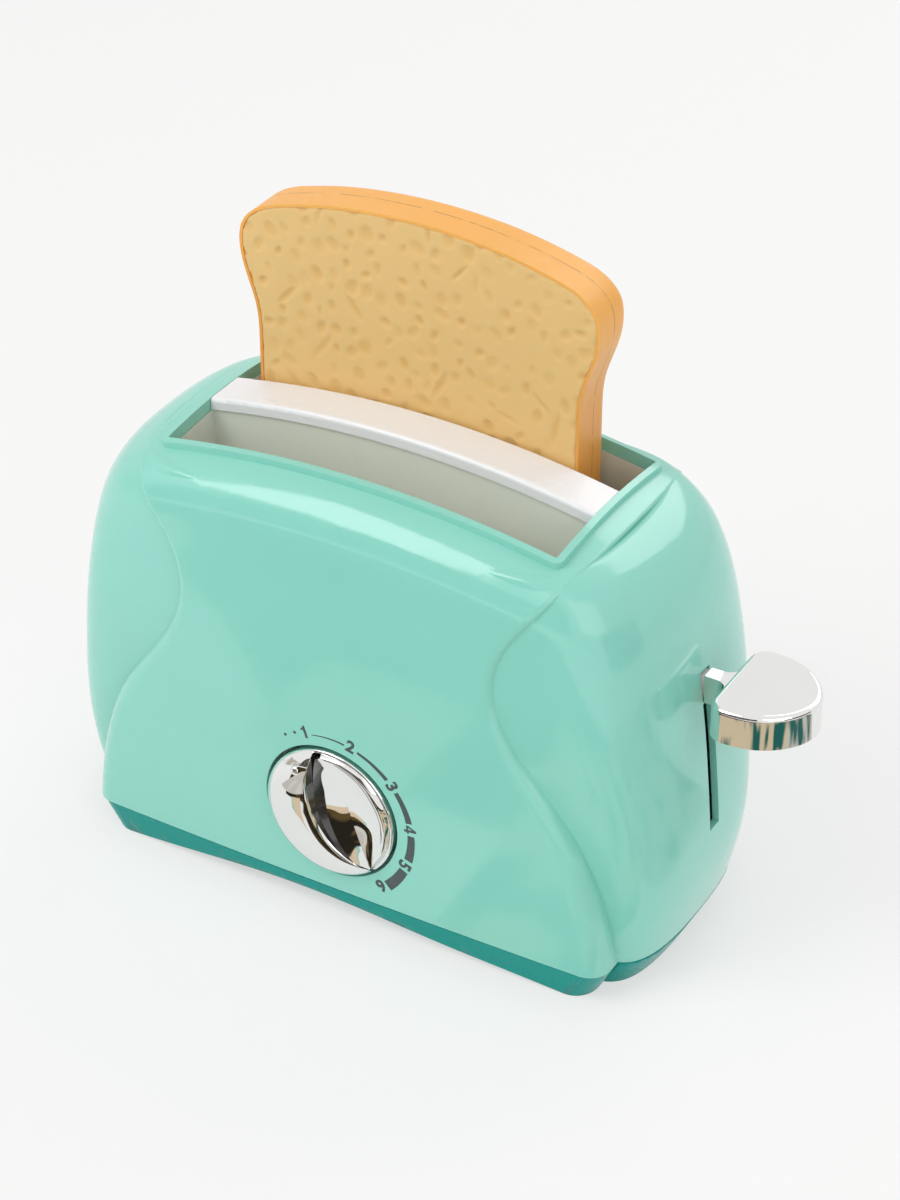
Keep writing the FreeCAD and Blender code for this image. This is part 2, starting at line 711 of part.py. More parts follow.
def base_cutters():
    solids = []
    for side in (-1, 1):
        y = side * ROD_SPREAD
        solids.append(rod(ROD_R + RUN, V(ROD_X, y, BASE_FLOOR_Z), V(ROD_X, y, BASE_FLOOR_Z + ROD_SOCKET + 1)))
    for x in (-1, 1):
        for y in (-1, 1):
            half = LEG / 2 + TOUCH
            pocket = box(-half, half, -half, half, BASE_FLOOR_Z, BASE_FLOOR_Z + ROD_SOCKET + 1)
            pocket.translate(V(x * LEG_X, y * LEG_Y, 0))
            solids.append(pocket)
    for x, y in base_screw_axes():
        for side in (-1, 1):
            solids.append(rod(CLEAR_R, V(x, side * y, 0), V(x, side * y, BASE_FLOOR_Z + 1)))
    pin_ends = [V(LATCH_PIVOT_X, y, LATCH_PIVOT_Z) for y in (-LATCH_EARS[0][1] - 1, 1 - LATCH_EARS[1][0])]
    solids.append(rod(LATCH_PIN_R + RUN, *pin_ends))
    start = V(-FOOT_HALF_LENGTH, -60, 0)
    rise = V(0, -60, BASE_ARCH)
    end = V(FOOT_HALF_LENGTH, -60, 0)
    low = [V(FOOT_HALF_LENGTH, -60, -2), V(-FOOT_HALF_LENGTH, -60, -2)]
    arch = Part.Arc(start, rise, end).toShape()
    edges = [arch, line(end, low[0]), line(low[0], low[1]), line(low[1], start)]
    solids.append(solid_of(edges, V(0, 120, 0)))
    return solids


# ---- slots, bar and liner ----
def bar_end_z():
    return top_z(SLOT_HALF_LENGTH, BAR_HALF_WIDTH) + RIM_HEIGHT


def arc_slab(half_x, half_y, z_low, drop):
    """Slab whose top lies drop below the bar's arched top."""
    radius = (SLOT_HALF_LENGTH ** 2 + BAR_RISE ** 2) / (2 * BAR_RISE)
    crest = bar_end_z() + BAR_RISE - drop
    end_z = crest - radius + sqrt(radius ** 2 - half_x ** 2)
    ends = [V(-half_x, -half_y, end_z), V(half_x, -half_y, end_z)]
    low = [V(half_x, -half_y, z_low), V(-half_x, -half_y, z_low)]
    top = Part.Arc(ends[0], V(0, -half_y, crest), ends[1]).toShape()
    edges = [top, line(ends[1], low[0]), line(low[0], low[1]), line(low[1], ends[0])]
    return solid_of(edges, V(0, 2 * half_y, 0))


def divider_bar():
    half = SLOT_HALF_LENGTH - FIT / 2
    bar = arc_slab(half, BAR_HALF_WIDTH, LINER_FOOT_Z, 0)
    long_edges = [
        e for e in bar.Edges if e.BoundBox.XLength > half and e.BoundBox.ZLength > BAR_RISE * 0.9
    ]
    bar = bar.makeFillet(BAR_EDGE, long_edges)
    bar = bar.cut(arc_slab(half + 1, BAR_HALF_WIDTH + 1, 0, BAR_DEPTH))
    reach = half - LINER_WALL - 1
    tongue = arc_slab(reach, HOLLOW_HALF - FIT, LINER_FOOT_Z, BAR_DEPTH - 0.5)
    tongue = tongue.cut(arc_slab(reach + 1, HOLLOW_HALF, 0, BAR_DEPTH + BAR_TONGUE))
    return bar.fuse(tongue)


def slot_liner():
    bay_x = SLOT_HALF_LENGTH - LINER_INSET
    bay_y = SLOT_HALF_WIDTH - LINER_INSET
    middle = BAR_HALF_WIDTH - BAR_OVERHANG
    roof = belt_block(WALL + 0.2, LINER_FOOT_Z - 5)
    half = box(-LINER_OUT_X, LINER_OUT_X, -LINER_OUT_Y, 0, LINER_FOOT_Z, TOP_Z + 20).common(roof)
    body = half.fuse(half.mirror(V(), Y_AXIS))
    body = body.cut(box(-bay_x, bay_x, -bay_y, bay_y, LINER_FOOT_Z + LINER_WALL, TOP_Z + 30))
    body = body.fuse(arc_slab(bay_x, middle, LINER_FOOT_Z, BAR_DEPTH + TOUCH))
    hollow = box(-bay_x, bay_x, -HOLLOW_HALF, HOLLOW_HALF, LINER_FOOT_Z - 1, TOP_Z + 30)
    boss = box(
        bay_x - BRACKET_BOSS,
        bay_x,
        -HOLLOW_HALF,
        HOLLOW_HALF,
        BRACKET_Z,
        BRACKET_Z + BRACKET_HEIGHT + 2,
    )
    body = body.cut(hollow).fuse(boss)
    legs = []
    for x in (-1, 1):
        for y in (-1, 1):
            leg = box(-LEG / 2, LEG / 2, -LEG / 2, LEG / 2, BASE_FLOOR_Z, LINER_FOOT_Z + 0.5)
            leg.translate(V(x * LEG_X, y * LEG_Y, 0))
            legs.append(leg)
    body = body.multiFuse(legs)
    cutters = []
    for side in (-1, 1):
        y = side * TRAY_Y
        half_slot = TRAY_ARM_HALF + FIT
        low = LINER_FOOT_Z - 1
        start = TRAY_ARM_START - FIT
        cutters.append(box(start, LINER_OUT_X + 1, y - half_slot, y + half_slot, low, TRAY_TOP_Z + 1.5))
    for z in bracket_screw_heights():
        cutters.append(rod(PILOT_R, V(LINER_OUT_X + 1, 0, z), V(LINER_OUT_X - BRACKET_SCREW_REACH, 0, z)))
    return body.cut(joined(cutters))


# ---- guide rods, springs and bracket ----
def bracket_screw_heights():
    return [BRACKET_Z + BRACKET + BRACKET_SCREW_RISE, BRACKET_Z + BRACKET_HEIGHT - BRACKET_SCREW_DROP]


def rod_places():
    return [(ROD_X, side * ROD_SPREAD) for side in (-1, 1)]


def guide_rods():
    top = BRACKET_Z + BRACKET - 1
    return Part.makeCompound([rod(ROD_R, V(x, y, BASE_FLOOR_Z), V(x, y, top)) for x, y in rod_places()])


def rod_bracket():
    face = LINER_OUT_X
    shelf = box(face, ROD_X + 4, -BRACKET_HALF, BRACKET_HALF, BRACKET_Z, BRACKET_Z + BRACKET)
    flange = box(face, face + BRACKET, -BRACKET_HALF, BRACKET_HALF, BRACKET_Z, BRACKET_Z + BRACKET_HEIGHT)
    foot_z = BRACKET_Z + 1
    gusset_z = BRACKET_Z + BRACKET_HEIGHT - 3
    gussets = []
    for y in (-BRACKET_HALF + 1, BRACKET_HALF - 1 - GUSSET):
        corners = [V(face + 1, y, foot_z), V(ROD_X, y, foot_z), V(face + 1, y, gusset_z)]
        gussets.append(plate(corners, V(0, GUSSET, 0)))
    body = shelf.multiFuse([flange] + gussets)
    cutters = []
    for x, y in rod_places():
        cutters.append(rod(ROD_R + RUN, V(x, y, BRACKET_Z - 1), V(x, y, BRACKET_Z + BRACKET - 1 + TOUCH)))
    for z in bracket_screw_heights():
        cutters.append(rod(CLEAR_R, V(face - 1, 0, z), V(face + BRACKET + 1, 0, z)))
    return body.cut(joined(cutters))


def bracket_screws():
    face = LINER_OUT_X + BRACKET
    reach = BRACKET + BRACKET_SCREW_REACH - 1
    return Part.makeCompound(
        [
            screw(V(face, 0, z), -X_AXIS, BRACKET_SCREW_HEAD_R, SMALL_HEAD, SCREW_R, reach)
            for z in bracket_screw_heights()
        ]
    )


def stop_bumpers():
    low = CARRIAGE_TOP_Z + TOUCH
    return Part.makeCompound(
        [tube(BUMPER_R, ROD_R + RUN, V(x, y, low), V(x, y, BRACKET_Z - TOUCH)) for x, y in rod_places()]
    )


def coil(x, y, z0, z1, radius, wire, turns):
    height = z1 - z0 - 2 * wire
    helix = Part.Wire(Part.makeHelix(height / turns, height, radius).Edges)
    profile = Part.Wire([Part.makeCircle(wire, V(radius, 0, 0), Y_AXIS)])
    body = helix.makePipeShell([profile], True, True)
    body.translate(V(x, y, z0 + wire))
    return body


def return_springs():
    low = BASE_FLOOR_Z + ROD_SOCKET + TOUCH
    high = CARRIAGE_TOP_Z - CARRIAGE_HEIGHT - TOUCH
    return Part.makeCompound(
        [coil(x, y, low, high, SPRING_R, SPRING_WIRE_R, SPRING_TURNS) for x, y in rod_places()]
    )


# ---- lever ----
def carriage():
    low = CARRIAGE_TOP_Z - CARRIAGE_HEIGHT
    x0 = ROD_X - CARRIAGE_HALF_X
    x1 = ROD_X + CARRIAGE_HALF_X
    body = box(x0, x1, -CARRIAGE_HALF_Y, CARRIAGE_HALF_Y, low, CARRIAGE_TOP_Z)
    upright = [e for e in body.Edges if e.BoundBox.ZLength > CARRIAGE_HEIGHT - 0.1]
    body = body.makeFillet(CARRIAGE_CORNER, upright)
    tooth_y = (-LATCH_PLANE_Y - LATCH_HALF, -LATCH_PLANE_Y + LATCH_HALF)
    tooth = box(TOOTH_START_X, x0 + 1, *tooth_y, low, low + TOOTH_HEIGHT)
    body = body.fuse(tooth)
    cutters = [rod(ROD_R + RUN, V(x, y, low - 1), V(x, y, CARRIAGE_TOP_Z + 1)) for x, y in rod_places()]
    half = ARM_HALF + TOUCH
    cutters.append(box(ROD_X - 1 - TOUCH, x1 + 1, -half, half, ARM_FOOT_Z - TOUCH, CARRIAGE_TOP_Z + 1))
    for side in (-1, 1):
        y = side * TRAY_Y
        half = TRAY_ARM_HALF + TOUCH
        arm_low = TRAY_TOP_Z - TRAY_ARM_HEIGHT - TOUCH
        arm_end = x0 + TRAY_ARM_REACH + TOUCH
        cutters.append(box(x0 - 1, arm_end, y - half, y + half, arm_low, CARRIAGE_TOP_Z + 1))
    return body.cut(joined(cutters))


def lever_arm():
    start = ROD_X - 1
    bar = box(start, NECK_START_X - TOUCH, -ARM_HALF, ARM_HALF, ARM_FOOT_Z, ARM_TOP_Z)
    tongue = box(NECK_START_X - 1, TONGUE_PAD_X[0] + 1, -TONGUE_HALF, TONGUE_HALF, *TONGUE_Z)
    pad = box(TONGUE_PAD_X[0], TONGUE_PAD_X[1], -TONGUE_PAD_HALF, TONGUE_PAD_HALF, *TONGUE_Z)
    hole = rod(CLEAR_R, V(TONGUE_MIDDLE_X, 0, TONGUE_Z[0] - 1), V(TONGUE_MIDDLE_X, 0, TONGUE_Z[1] + 1))
    return bar.fuse(tongue).fuse(pad).cut(hole)


def offset_points(points, inset, start, end):
    """Moves an outline's points to the right of its direction; start and end are its end directions."""
    moved = []
    for index, (x, y) in enumerate(points):
        before = points[max(index - 1, 0)]
        after = points[min(index + 1, len(points) - 1)]
        run = (after[0] - before[0], after[1] - before[1])
        if index == 0:
            run = start
        if index == len(points) - 1:
            run = end
        length = sqrt(run[0] ** 2 + run[1] ** 2)
        moved.append((x + inset * run[1] / length, y - inset * run[0] / length))
    return moved


def paddle_outline(inset, z):
    front = offset_points(PADDLE_FRONT, inset, (1, 0), (0, -1))
    corner = [
        (PADDLE_X + inset, PADDLE_BACK_HALF),
        (PADDLE_CORNER[0] + 0.7 * inset, PADDLE_CORNER[1] - 0.7 * inset),
        front[0],
    ]
    ahead = [V(x, y, z) for x, y in front] + [V(x, -y, z) for x, y in reversed(front[:-1])]
    left = [V(x, y, z) for x, y in corner]
    right = [V(x, -y, z) for x, y in reversed(corner)]
    edges = [
        line(right[-1], left[0]),
        Part.Arc(*left).toShape(),
        spline(ahead, X_AXIS, -X_AXIS),
        Part.Arc(*right).toShape(),
    ]
    return Part.Face(Part.Wire(edges))


def lever_paddle():
    low = PADDLE_TOP_Z - PADDLE_HEIGHT
    body = paddle_outline(0, low).extrude(V(0, 0, PADDLE_HEIGHT))
    top = [e for e in body.Edges if e.BoundBox.ZMin > PADDLE_TOP_Z - 0.1]
    body = body.makeFillet(PADDLE_EDGE, top)
    neck = box(NECK_START_X, PADDLE_X + 3, -NECK_HALF, NECK_HALF, low + 0.2, NECK_TOP_Z)
    flare = []
    for side in (-1, 1):
        corner = [
            V(PADDLE_X - FLARE_REACH, side * NECK_HALF * 0.9, low + 0.2),
            V(PADDLE_X + 1.0, side * FLARE_HALF, low + 0.2),
            V(PADDLE_X + 1.0, side * NECK_HALF * 0.9, low + 0.2),
        ]
        middle = V(PADDLE_X - 0.9, side * (NECK_HALF + 1.2), low + 0.2)
        bend = Part.Arc(corner[0], middle, corner[1]).toShape()
        edges = [bend, line(corner[1], corner[2]), line(corner[2], corner[0])]
        flare.append(solid_of(edges, V(0, 0, NECK_TOP_Z - low - 0.2)))
    body = body.multiFuse([neck] + flare)
    hollow = paddle_outline(PADDLE_WALL, low - 1).extrude(V(0, 0, PADDLE_HEIGHT + 1 - PADDLE_WALL))
    half = TONGUE_HALF + TOUCH
    channel = box(NECK_START_X - 1, PADDLE_X + 3, -half, half, low - 1, TONGUE_Z[1] + TOUCH)
    body = body.cut(hollow).cut(channel)
    x = TONGUE_MIDDLE_X
    boss = rod(PADDLE_BOSS_R, V(x, 0, TONGUE_Z[1] + TOUCH), V(x, 0, PADDLE_TOP_Z - 1))
    pilot = rod(PILOT_R, V(x, 0, low), V(x, 0, TONGUE_Z[1] + PADDLE_SCREW_REACH + 1))
    return body.fuse(boss).cut(pilot)


def paddle_screw():
    reach = TONGUE_Z[1] - TONGUE_Z[0] + PADDLE_SCREW_REACH
    return screw(V(TONGUE_MIDDLE_X, 0, TONGUE_Z[0]), Z_AXIS, PADDLE_SCREW_HEAD_R, SMALL_HEAD, SCREW_R, reach)


def tray(side):
    y = side * TRAY_Y
    low = TRAY_TOP_Z - TRAY
    half = TRAY_HALF_WIDTH
    body = box(-TRAY_HALF_LENGTH, TRAY_HALF_LENGTH, y - half, y + half, low, TRAY_TOP_Z)
    upright = [e for e in body.Edges if e.BoundBox.ZLength > TRAY - 0.1]
    body = body.makeFillet(TRAY_CORNER, upright)
    windows = []
    half = TRAY_HALF_WIDTH - TRAY_FRAME
    for x in TRAY_WINDOW_PLACES:
        x0 = x - TRAY_WINDOW_HALF
        x1 = x + TRAY_WINDOW_HALF
        windows.append(box(x0, x1, y - half, y + half, low - 1, TRAY_TOP_Z + 1))
    reach = ROD_X - CARRIAGE_HALF_X + TRAY_ARM_REACH
    arm = box(
        TRAY_ARM_START,
        reach,
        y - TRAY_ARM_HALF,
        y + TRAY_ARM_HALF,
        TRAY_TOP_Z - TRAY_ARM_HEIGHT,
        TRAY_TOP_Z,
    )
    return body.cut(joined(windows)).fuse(arm)


# ---- timer ----
def timer_corners():
    half = PLATE_HALF_LENGTH - PILLAR_INSET
    return [
        (DIAL_X + side * half, z)
        for side in (-1, 1)
        for z in (PLATE_FOOT_Z + PILLAR_INSET, PLATE_TOP_Z - PILLAR_INSET)
    ]


def timer_plate(front):
    """One plate of the timer; front is the distance of its front side from the parting plane."""
    x0 = DIAL_X - PLATE_HALF_LENGTH
    x1 = DIAL_X + PLATE_HALF_LENGTH
    body = box(x0, x1, -front, PLATE - front, PLATE_FOOT_Z, PLATE_TOP_Z)
    corners = [e for e in body.Edges if e.BoundBox.YLength > PLATE - 0.1]
    body = body.makeFillet(PLATE_CORNER, corners)
    holes = [(DIAL, SHAFT_R + RUN)] + [(place, ARBOR_R + RUN) for place in (SECOND, ESCAPE, PALLET)]
    holes += [(place, TIMER_SCREW_R + TOUCH) for place in timer_corners()]
    cutters = [rod(r, V(x, -front - 1, z), V(x, PLATE - front + 1, z)) for (x, z), r in holes]
    return body.cut(joined(cutters))


def timer_back_plate():
    x = MAINSPRING_PIN_X
    pin = rod(MAINSPRING_PIN_R, V(x, -MAINSPRING_Y[0], DIAL_Z), V(x, PLATE - TIMER_BACK_Y - 0.2, DIAL_Z))
    return timer_plate(TIMER_BACK_Y).fuse(pin)


def timer_pillars():
    front = -PLATE_FRONT_Y + PLATE
    bore = TIMER_SCREW_R + TOUCH
    return Part.makeCompound(
        [tube(PILLAR_R, bore, V(x, front, z), V(x, -TIMER_BACK_Y, z)) for x, z in timer_corners()]
    )


def timer_screws():
    back = PLATE - TIMER_BACK_Y
    reach = TIMER_SCREW_TIP_Y + back
    return Part.makeCompound(
        [
            screw(V(x, back, z), -Y_AXIS, TIMER_SCREW_HEAD_R, SMALL_HEAD, TIMER_SCREW_R, reach)
            for x, z in timer_corners()
        ]
    )


def gear(centre, teeth, first_tooth, depth):
    """Spur gear; first_tooth is the direction of a tooth, depth its (front, back) distances."""
    pitch_r = GEAR_MODULE * teeth / 2
    tip = pitch_r + 0.8 * GEAR_MODULE
    root = pitch_r - GEAR_MODULE
    step = 2 * pi / teeth
    points = []
    for index in range(teeth):
        turn = first_tooth + index * step
        for radius, share in ((root, -0.26), (tip, -0.11), (tip, 0.11), (root, 0.26)):
            x, z = along(centre, turn + share * step, radius)
            points.append(V(x, -depth[0], z))
    return plate(points, V(0, depth[0] - depth[1], 0))


def arbor(centre, radius, front, back):
    return rod(radius, V(centre[0], -front, centre[1]), V(centre[0], -back, centre[1]))


def timer_arbor(centre):
    """Thin shaft whose ends run in the timer's two plates."""
    return arbor(centre, ARBOR_R, PLATE_FRONT_Y - ARBOR_PLAY, TIMER_BACK_Y - PLATE + ARBOR_PLAY)


def main_wheel():
    wheel = gear(DIAL, MAIN_TEETH, SECOND_TURN, MAIN_WHEEL_Y)
    hub = arbor(DIAL, SHAFT_R + WHEEL_HUB_WALL, MAIN_WHEEL_Y[0] + 1, MAIN_WHEEL_Y[1] - 0.4)
    bore = arbor(DIAL, SHAFT_R + TOUCH, MAIN_WHEEL_Y[0] + 5, MAIN_WHEEL_Y[1] - 5)
    holes = []
    for number in range(WHEEL_HOLES):
        place = along(DIAL, 2 * pi * (number + 0.5) / WHEEL_HOLES, WHEEL_HOLE_REACH)
        holes.append(arbor(place, WHEEL_HOLE_R, MAIN_WHEEL_Y[0] + 5, MAIN_WHEEL_Y[1] - 5))
    return wheel.fuse(hub).cut(joined([bore] + holes))


def second_wheel():
    pinion_tooth = SECOND_TURN + pi + pi / PINION_TEETH
    pinion_y = (MAIN_WHEEL_Y[0] + PINION_MARGIN, MAIN_WHEEL_Y[1] - PINION_MARGIN)
    pinion = gear(SECOND, PINION_TEETH, pinion_tooth, pinion_y)
    wheel = gear(SECOND, SECOND_TEETH, ESCAPE_TURN, SECOND_WHEEL_Y)
    collar = arbor(SECOND, COLLAR_R, MAIN_WHEEL_Y[1], SECOND_WHEEL_Y[0] - 0.2)
    return wheel.multiFuse([pinion, timer_arbor(SECOND), collar])


def escape_wheel():
    pinion_tooth = ESCAPE_TURN + pi + pi / ESCAPE_PINION_TEETH
    pinion_y = (SECOND_WHEEL_Y[0] + PINION_MARGIN, SECOND_WHEEL_Y[1] - PINION_MARGIN)
    pinion = gear(ESCAPE, ESCAPE_PINION_TEETH, pinion_tooth, pinion_y)
    points = []
    step = 2 * pi / ESCAPE_TEETH
    root = ESCAPE_R - ESCAPE_TOOTH
    for index in range(ESCAPE_TEETH):
        for radius, share in ((root, 0.0), (ESCAPE_R, 0.35), (ESCAPE_R, 0.5), (root, 0.62)):
            x, z = along(ESCAPE, (index + share) * step, radius)
            points.append(V(x, -ESCAPE_WHEEL_Y[0], z))
    wheel = plate(points, V(0, ESCAPE_WHEEL_Y[0] - ESCAPE_WHEEL_Y[1], 0))
    return wheel.multiFuse([pinion, timer_arbor(ESCAPE)])


def pallet():
    front = ESCAPE_WHEEL_Y[0] + PALLET_YOKE_GAP + PALLET_YOKE
    back = front - PALLET_YOKE
    yoke = arbor(PALLET, PALLET_HUB_R, front, back)
    pins = []
    for side in (-1, 1):
        pin = along(ESCAPE, PALLET_TURN + side * PALLET_SPAN, PALLET_PIN_REACH)
        toward = V(pin[0] - PALLET[0], 0, pin[1] - PALLET[1])
        across = V(-toward.z, 0, toward.x).normalize() * PALLET_ARM_HALF
        root = V(PALLET[0], -front, PALLET[1])
        corners = [root - across, root + across, root + across + toward, root - across + toward]
        yoke = yoke.fuse(plate(corners, V(0, PALLET_YOKE, 0))).fuse(arbor(pin, PALLET_EYE_R, front, back))
        pins.append(arbor(pin, PALLET_PIN_R, front - 0.5, ESCAPE_WHEEL_Y[1]))
    return timer_arbor(PALLET).multiFuse([yoke] + pins)


def mainspring():
    """Spiral strip drawn as half rings whose centres alternate."""
    rings = []
    for index in range(MAINSPRING_HALF_TURNS):
        inner = MAINSPRING_R + index * MAINSPRING_PITCH / 2
        outer = inner + MAINSPRING_STRIP
        centre_x = DIAL_X - (index % 2) * MAINSPRING_PITCH / 2
        side = 1 if index % 2 == 0 else -1
        y = -MAINSPRING_Y[0]
        near = [V(centre_x + s * inner, y, DIAL_Z) for s in (-1, 1)]
        far = [V(centre_x + s * outer, y, DIAL_Z) for s in (-1, 1)]
        edges = [
            Part.Arc(near[0], V(centre_x, y, DIAL_Z + side * inner), near[1]).toShape(),
            Part.Arc(far[0], V(centre_x, y, DIAL_Z + side * outer), far[1]).toShape(),
            line(near[0], far[0]),
            line(near[1], far[1]),
        ]
        rings.append(solid_of(edges, V(0, MAINSPRING_Y[0] - MAINSPRING_Y[1], 0)))
    end_x = DIAL_X + MAINSPRING_R + (MAINSPRING_HALF_TURNS - 1) * MAINSPRING_PITCH / 2
    tail_x = MAINSPRING_PIN_X - MAINSPRING_PIN_R - TOUCH
    tail = box(end_x, tail_x, -MAINSPRING_Y[0], -MAINSPRING_Y[1], DIAL_Z - MAINSPRING_STRIP, DIAL_Z)
    return joined(rings + [tail])


def release_cam():
    curves = []
    for first in (0, 1):
        points = []
        for step in range(13):
            share = step / 12
            height = CAM_LOW + (CAM_HIGH - CAM_LOW) * (share if first == 0 else 1 - share)
            turn = pi / 2 - pi * (share + first)
            x, z = along(DIAL, turn, height)
            points.append(V(x, -LATCH_PLANE_Y - LATCH_HALF, z))
        curves.append(spline(points))
    body = Part.Face(Part.Wire(curves)).extrude(V(0, 2 * LATCH_HALF, 0))
    hub = arbor(DIAL, SHAFT_R + CAM_HUB_WALL, LATCH_PLANE_Y + CAM_HUB, LATCH_PLANE_Y)
    return body.fuse(hub).cut(arbor(DIAL, SHAFT_R + TOUCH, 20, 5))


# ---- latch ----
def latch_lever():
    front = -LATCH_PLANE_Y - LATCH_HALF
    depth = V(0, 2 * LATCH_HALF, 0)
    px, pz = LATCH_PIVOT_X, LATCH_PIVOT_Z
    half = LATCH_BAR / 2
    far = DIAL_X - LATCH_PAD_HALF
    near = DIAL_X + LATCH_PAD_HALF
    bar = plate(
        [
            V(far, front, LATCH_PAD_Z),
            V(near, front, LATCH_PAD_Z),
            V(px, front, pz + half),
            V(px, front, pz - half),
            V(near, front, LATCH_PAD_Z - LATCH_BAR),
            V(far, front, LATCH_PAD_Z - LATCH_BAR),
        ],
        depth,
    )
    x0, x1 = LATCH_ARM_X
    hook = plate(
        [
            V(px - half, front, pz),
            V(x0, front, NOSE_Z[0]),
            V(x0 + 1.0, front, NOSE_Z[1]),
            V(NOSE_X - 0.8, front, NOSE_Z[1]),
            V(NOSE_X, front, NOSE_Z[0]),
            V(x1, front, NOSE_Z[0]),
            V(px + half, front, pz),
        ],
        depth,
    )
    hub = rod(LATCH_HUB_R, V(px, front, pz), V(px, front + 2 * LATCH_HALF, pz))
    bore = rod(LATCH_PIN_R + RUN, V(px, front - 1, pz), V(px, front + 2 * LATCH_HALF + 1, pz))
    return bar.multiFuse([hook, hub]).cut(bore)


def latch_pin():
    front = -LATCH_EARS[0][1] - 0.5
    back = -LATCH_EARS[1][0] + 0.5
    return rod(LATCH_PIN_R, V(LATCH_PIVOT_X, front, LATCH_PIVOT_Z), V(LATCH_PIVOT_X, back, LATCH_PIVOT_Z))


def latch_spring():
    near = DIAL_X + LATCH_PAD_HALF
    share = (LATCH_SPRING_X + LATCH_SPRING_R - near) / (LATCH_PIVOT_X - near)
    middle = LATCH_PAD_Z + share * (LATCH_PIVOT_Z + LATCH_BAR / 2 - LATCH_PAD_Z)
    top = middle - LATCH_BAR - 2 * TOUCH
    low = BASE_FLOOR_Z + TOUCH
    return coil(LATCH_SPRING_X, -LATCH_PLANE_Y, low, top, LATCH_SPRING_R, SPRING_WIRE_R, LATCH_SPRING_TURNS)


# ---- knob ----
def grip_arc(side, reach):
    """Edge of the grip, reach beyond the line between its tips, on one side of it."""
    (x0, z0), (x1, z1) = GRIP_TIPS
    length = sqrt((x1 - x0) ** 2 + (z1 - z0) ** 2)
    across = ((z0 - z1) / length, (x1 - x0) / length)
    middle = ((x0 + x1) / 2 + side * reach * across[0], (z0 + z1) / 2 + side * reach * across[1])
    points = [V(DIAL_X + x, 0, DIAL_Z + z) for x, z in (GRIP_TIPS[0], middle, GRIP_TIPS[1])]
    return Part.Arc(*points).toShape()


def grip_prism(left, right):
    return solid_of([grip_arc(-1, left), grip_arc(1, right)], V(0, -60, 0))


def grip_ridge():
    """Barrel along the line between the grip's tips, highest in the middle."""
    (x0, z0), (x1, z1) = GRIP_TIPS
    centre = V(DIAL_X + (x0 + x1) / 2, GRIP_TURN_R - GRIP_Y, DIAL_Z + (z0 + z1) / 2)
    chord = V(x1 - x0, 0, z1 - z0)
    half = chord.Length / 2 + 1
    chord.normalize()
    out = -Y_AXIS
    ends = [centre - chord * half, centre + chord * half]
    high = GRIP_TURN_R
    low = GRIP_TURN_R - GRIP_FALL
    arc = Part.Arc(ends[0] + out * low, centre + out * high, ends[1] + out * low).toShape()
    sides = [line(ends[1] + out * low, ends[1]), line(ends[0], ends[0] + out * low)]
    outline = [arc, sides[0], line(ends[1], ends[0]), sides[1]]
    return Part.Face(Part.Wire(outline)).revolve(centre, chord, 360)


def dial_rod(radius, back, front):
    """Round rod on the dial's axis; back and front are distances from the parting plane."""
    return rod(radius, V(DIAL_X, -back, DIAL_Z), V(DIAL_X, -front, DIAL_Z))


def timer_knob():
    disc = dial_rod(KNOB_R, KNOB_BACK_Y, KNOB_FIELD_Y)
    rim = dial_rod(KNOB_R, KNOB_BACK_Y + 1, KNOB_EDGE_Y).cut(dial_rod(KNOB_R - KNOB_RIM, KNOB_BACK_Y, 60))
    bound = dial_rod(KNOB_R - 0.1, KNOB_FIELD_Y - 1, 60)
    grip = grip_ridge().common(grip_prism(GRIP_LEFT, GRIP_RIGHT)).common(bound)
    inner = dial_rod(KNOB_R - 0.4, KNOB_FIELD_Y - 1, 60)
    rise = CRESCENT_Y - KNOB_EDGE_Y
    dome_r = KNOB_R ** 2 / (2 * rise) + rise / 2
    dome = Part.makeSphere(dome_r, V(DIAL_X, dome_r - CRESCENT_Y, DIAL_Z))
    crescent = inner.common(dome).cut(grip_prism(GRIP_LEFT + CRESCENT_GROOVE, 60))
    body = disc.multiFuse([rim, grip, crescent])
    bead_x, bead_z = along(DIAL, pi / 2 - BEAD_TURN, BEAD_REACH)
    bead = Part.makeSphere(BEAD_R, V(bead_x, BEAD_SINK - CRESCENT_Y, bead_z))
    hollow = dial_rod(KNOB_R - KNOB_RIM, KNOB_BACK_Y - 1, KNOB_BACK_Y + KNOB_HOLLOW)
    hollow = hollow.cut(dial_rod(SHAFT_R + KNOB_HUB_WALL, KNOB_BACK_Y - 2, KNOB_BACK_Y + KNOB_HOLLOW + 1))
    bore = dial_rod(SHAFT_R + TOUCH, KNOB_BACK_Y - 1, KNOB_BORE_Y)
    return body.fuse(bead).cut(hollow).cut(bore)


def knob_shaft():
    return dial_rod(SHAFT_R, LATCH_PLANE_Y - LATCH_HALF - 1, KNOB_BORE_Y - TOUCH)


# ---- toast ----
def toast_wire(inset, y):
    """Outline of the slice, drawn in by inset."""
    side = offset_points(TOAST_SIDE, -inset, (0, 1), (-1, 0))
    half = side[0][0]
    corner = max(TOAST_CORNER - inset, 0.5)
    turn = corner * (1 - sqrt(0.5))

    def at(x, z):
        return V(TOAST_X + x, y, TOAST_Z + z)

    right = [at(x, z) for x, z in side]
    left = [at(-x, z) for x, z in reversed(side[:-1])]
    curve = spline(right + left, Z_AXIS, -Z_AXIS)
    bend = [(half, inset + corner), (half - turn, inset + turn), (half - corner, inset)]
    edges = [
        curve,
        line(at(-half, side[0][1]), at(-half, bend[0][1])),
        Part.Arc(*[at(-x, z) for x, z in bend]).toShape(),
        line(at(-bend[2][0], inset), at(bend[2][0], inset)),
        Part.Arc(*[at(x, z) for x, z in reversed(bend)]).toShape(),
        line(at(half, bend[0][1]), at(half, side[0][1])),
    ]
    return Part.Wire(edges)


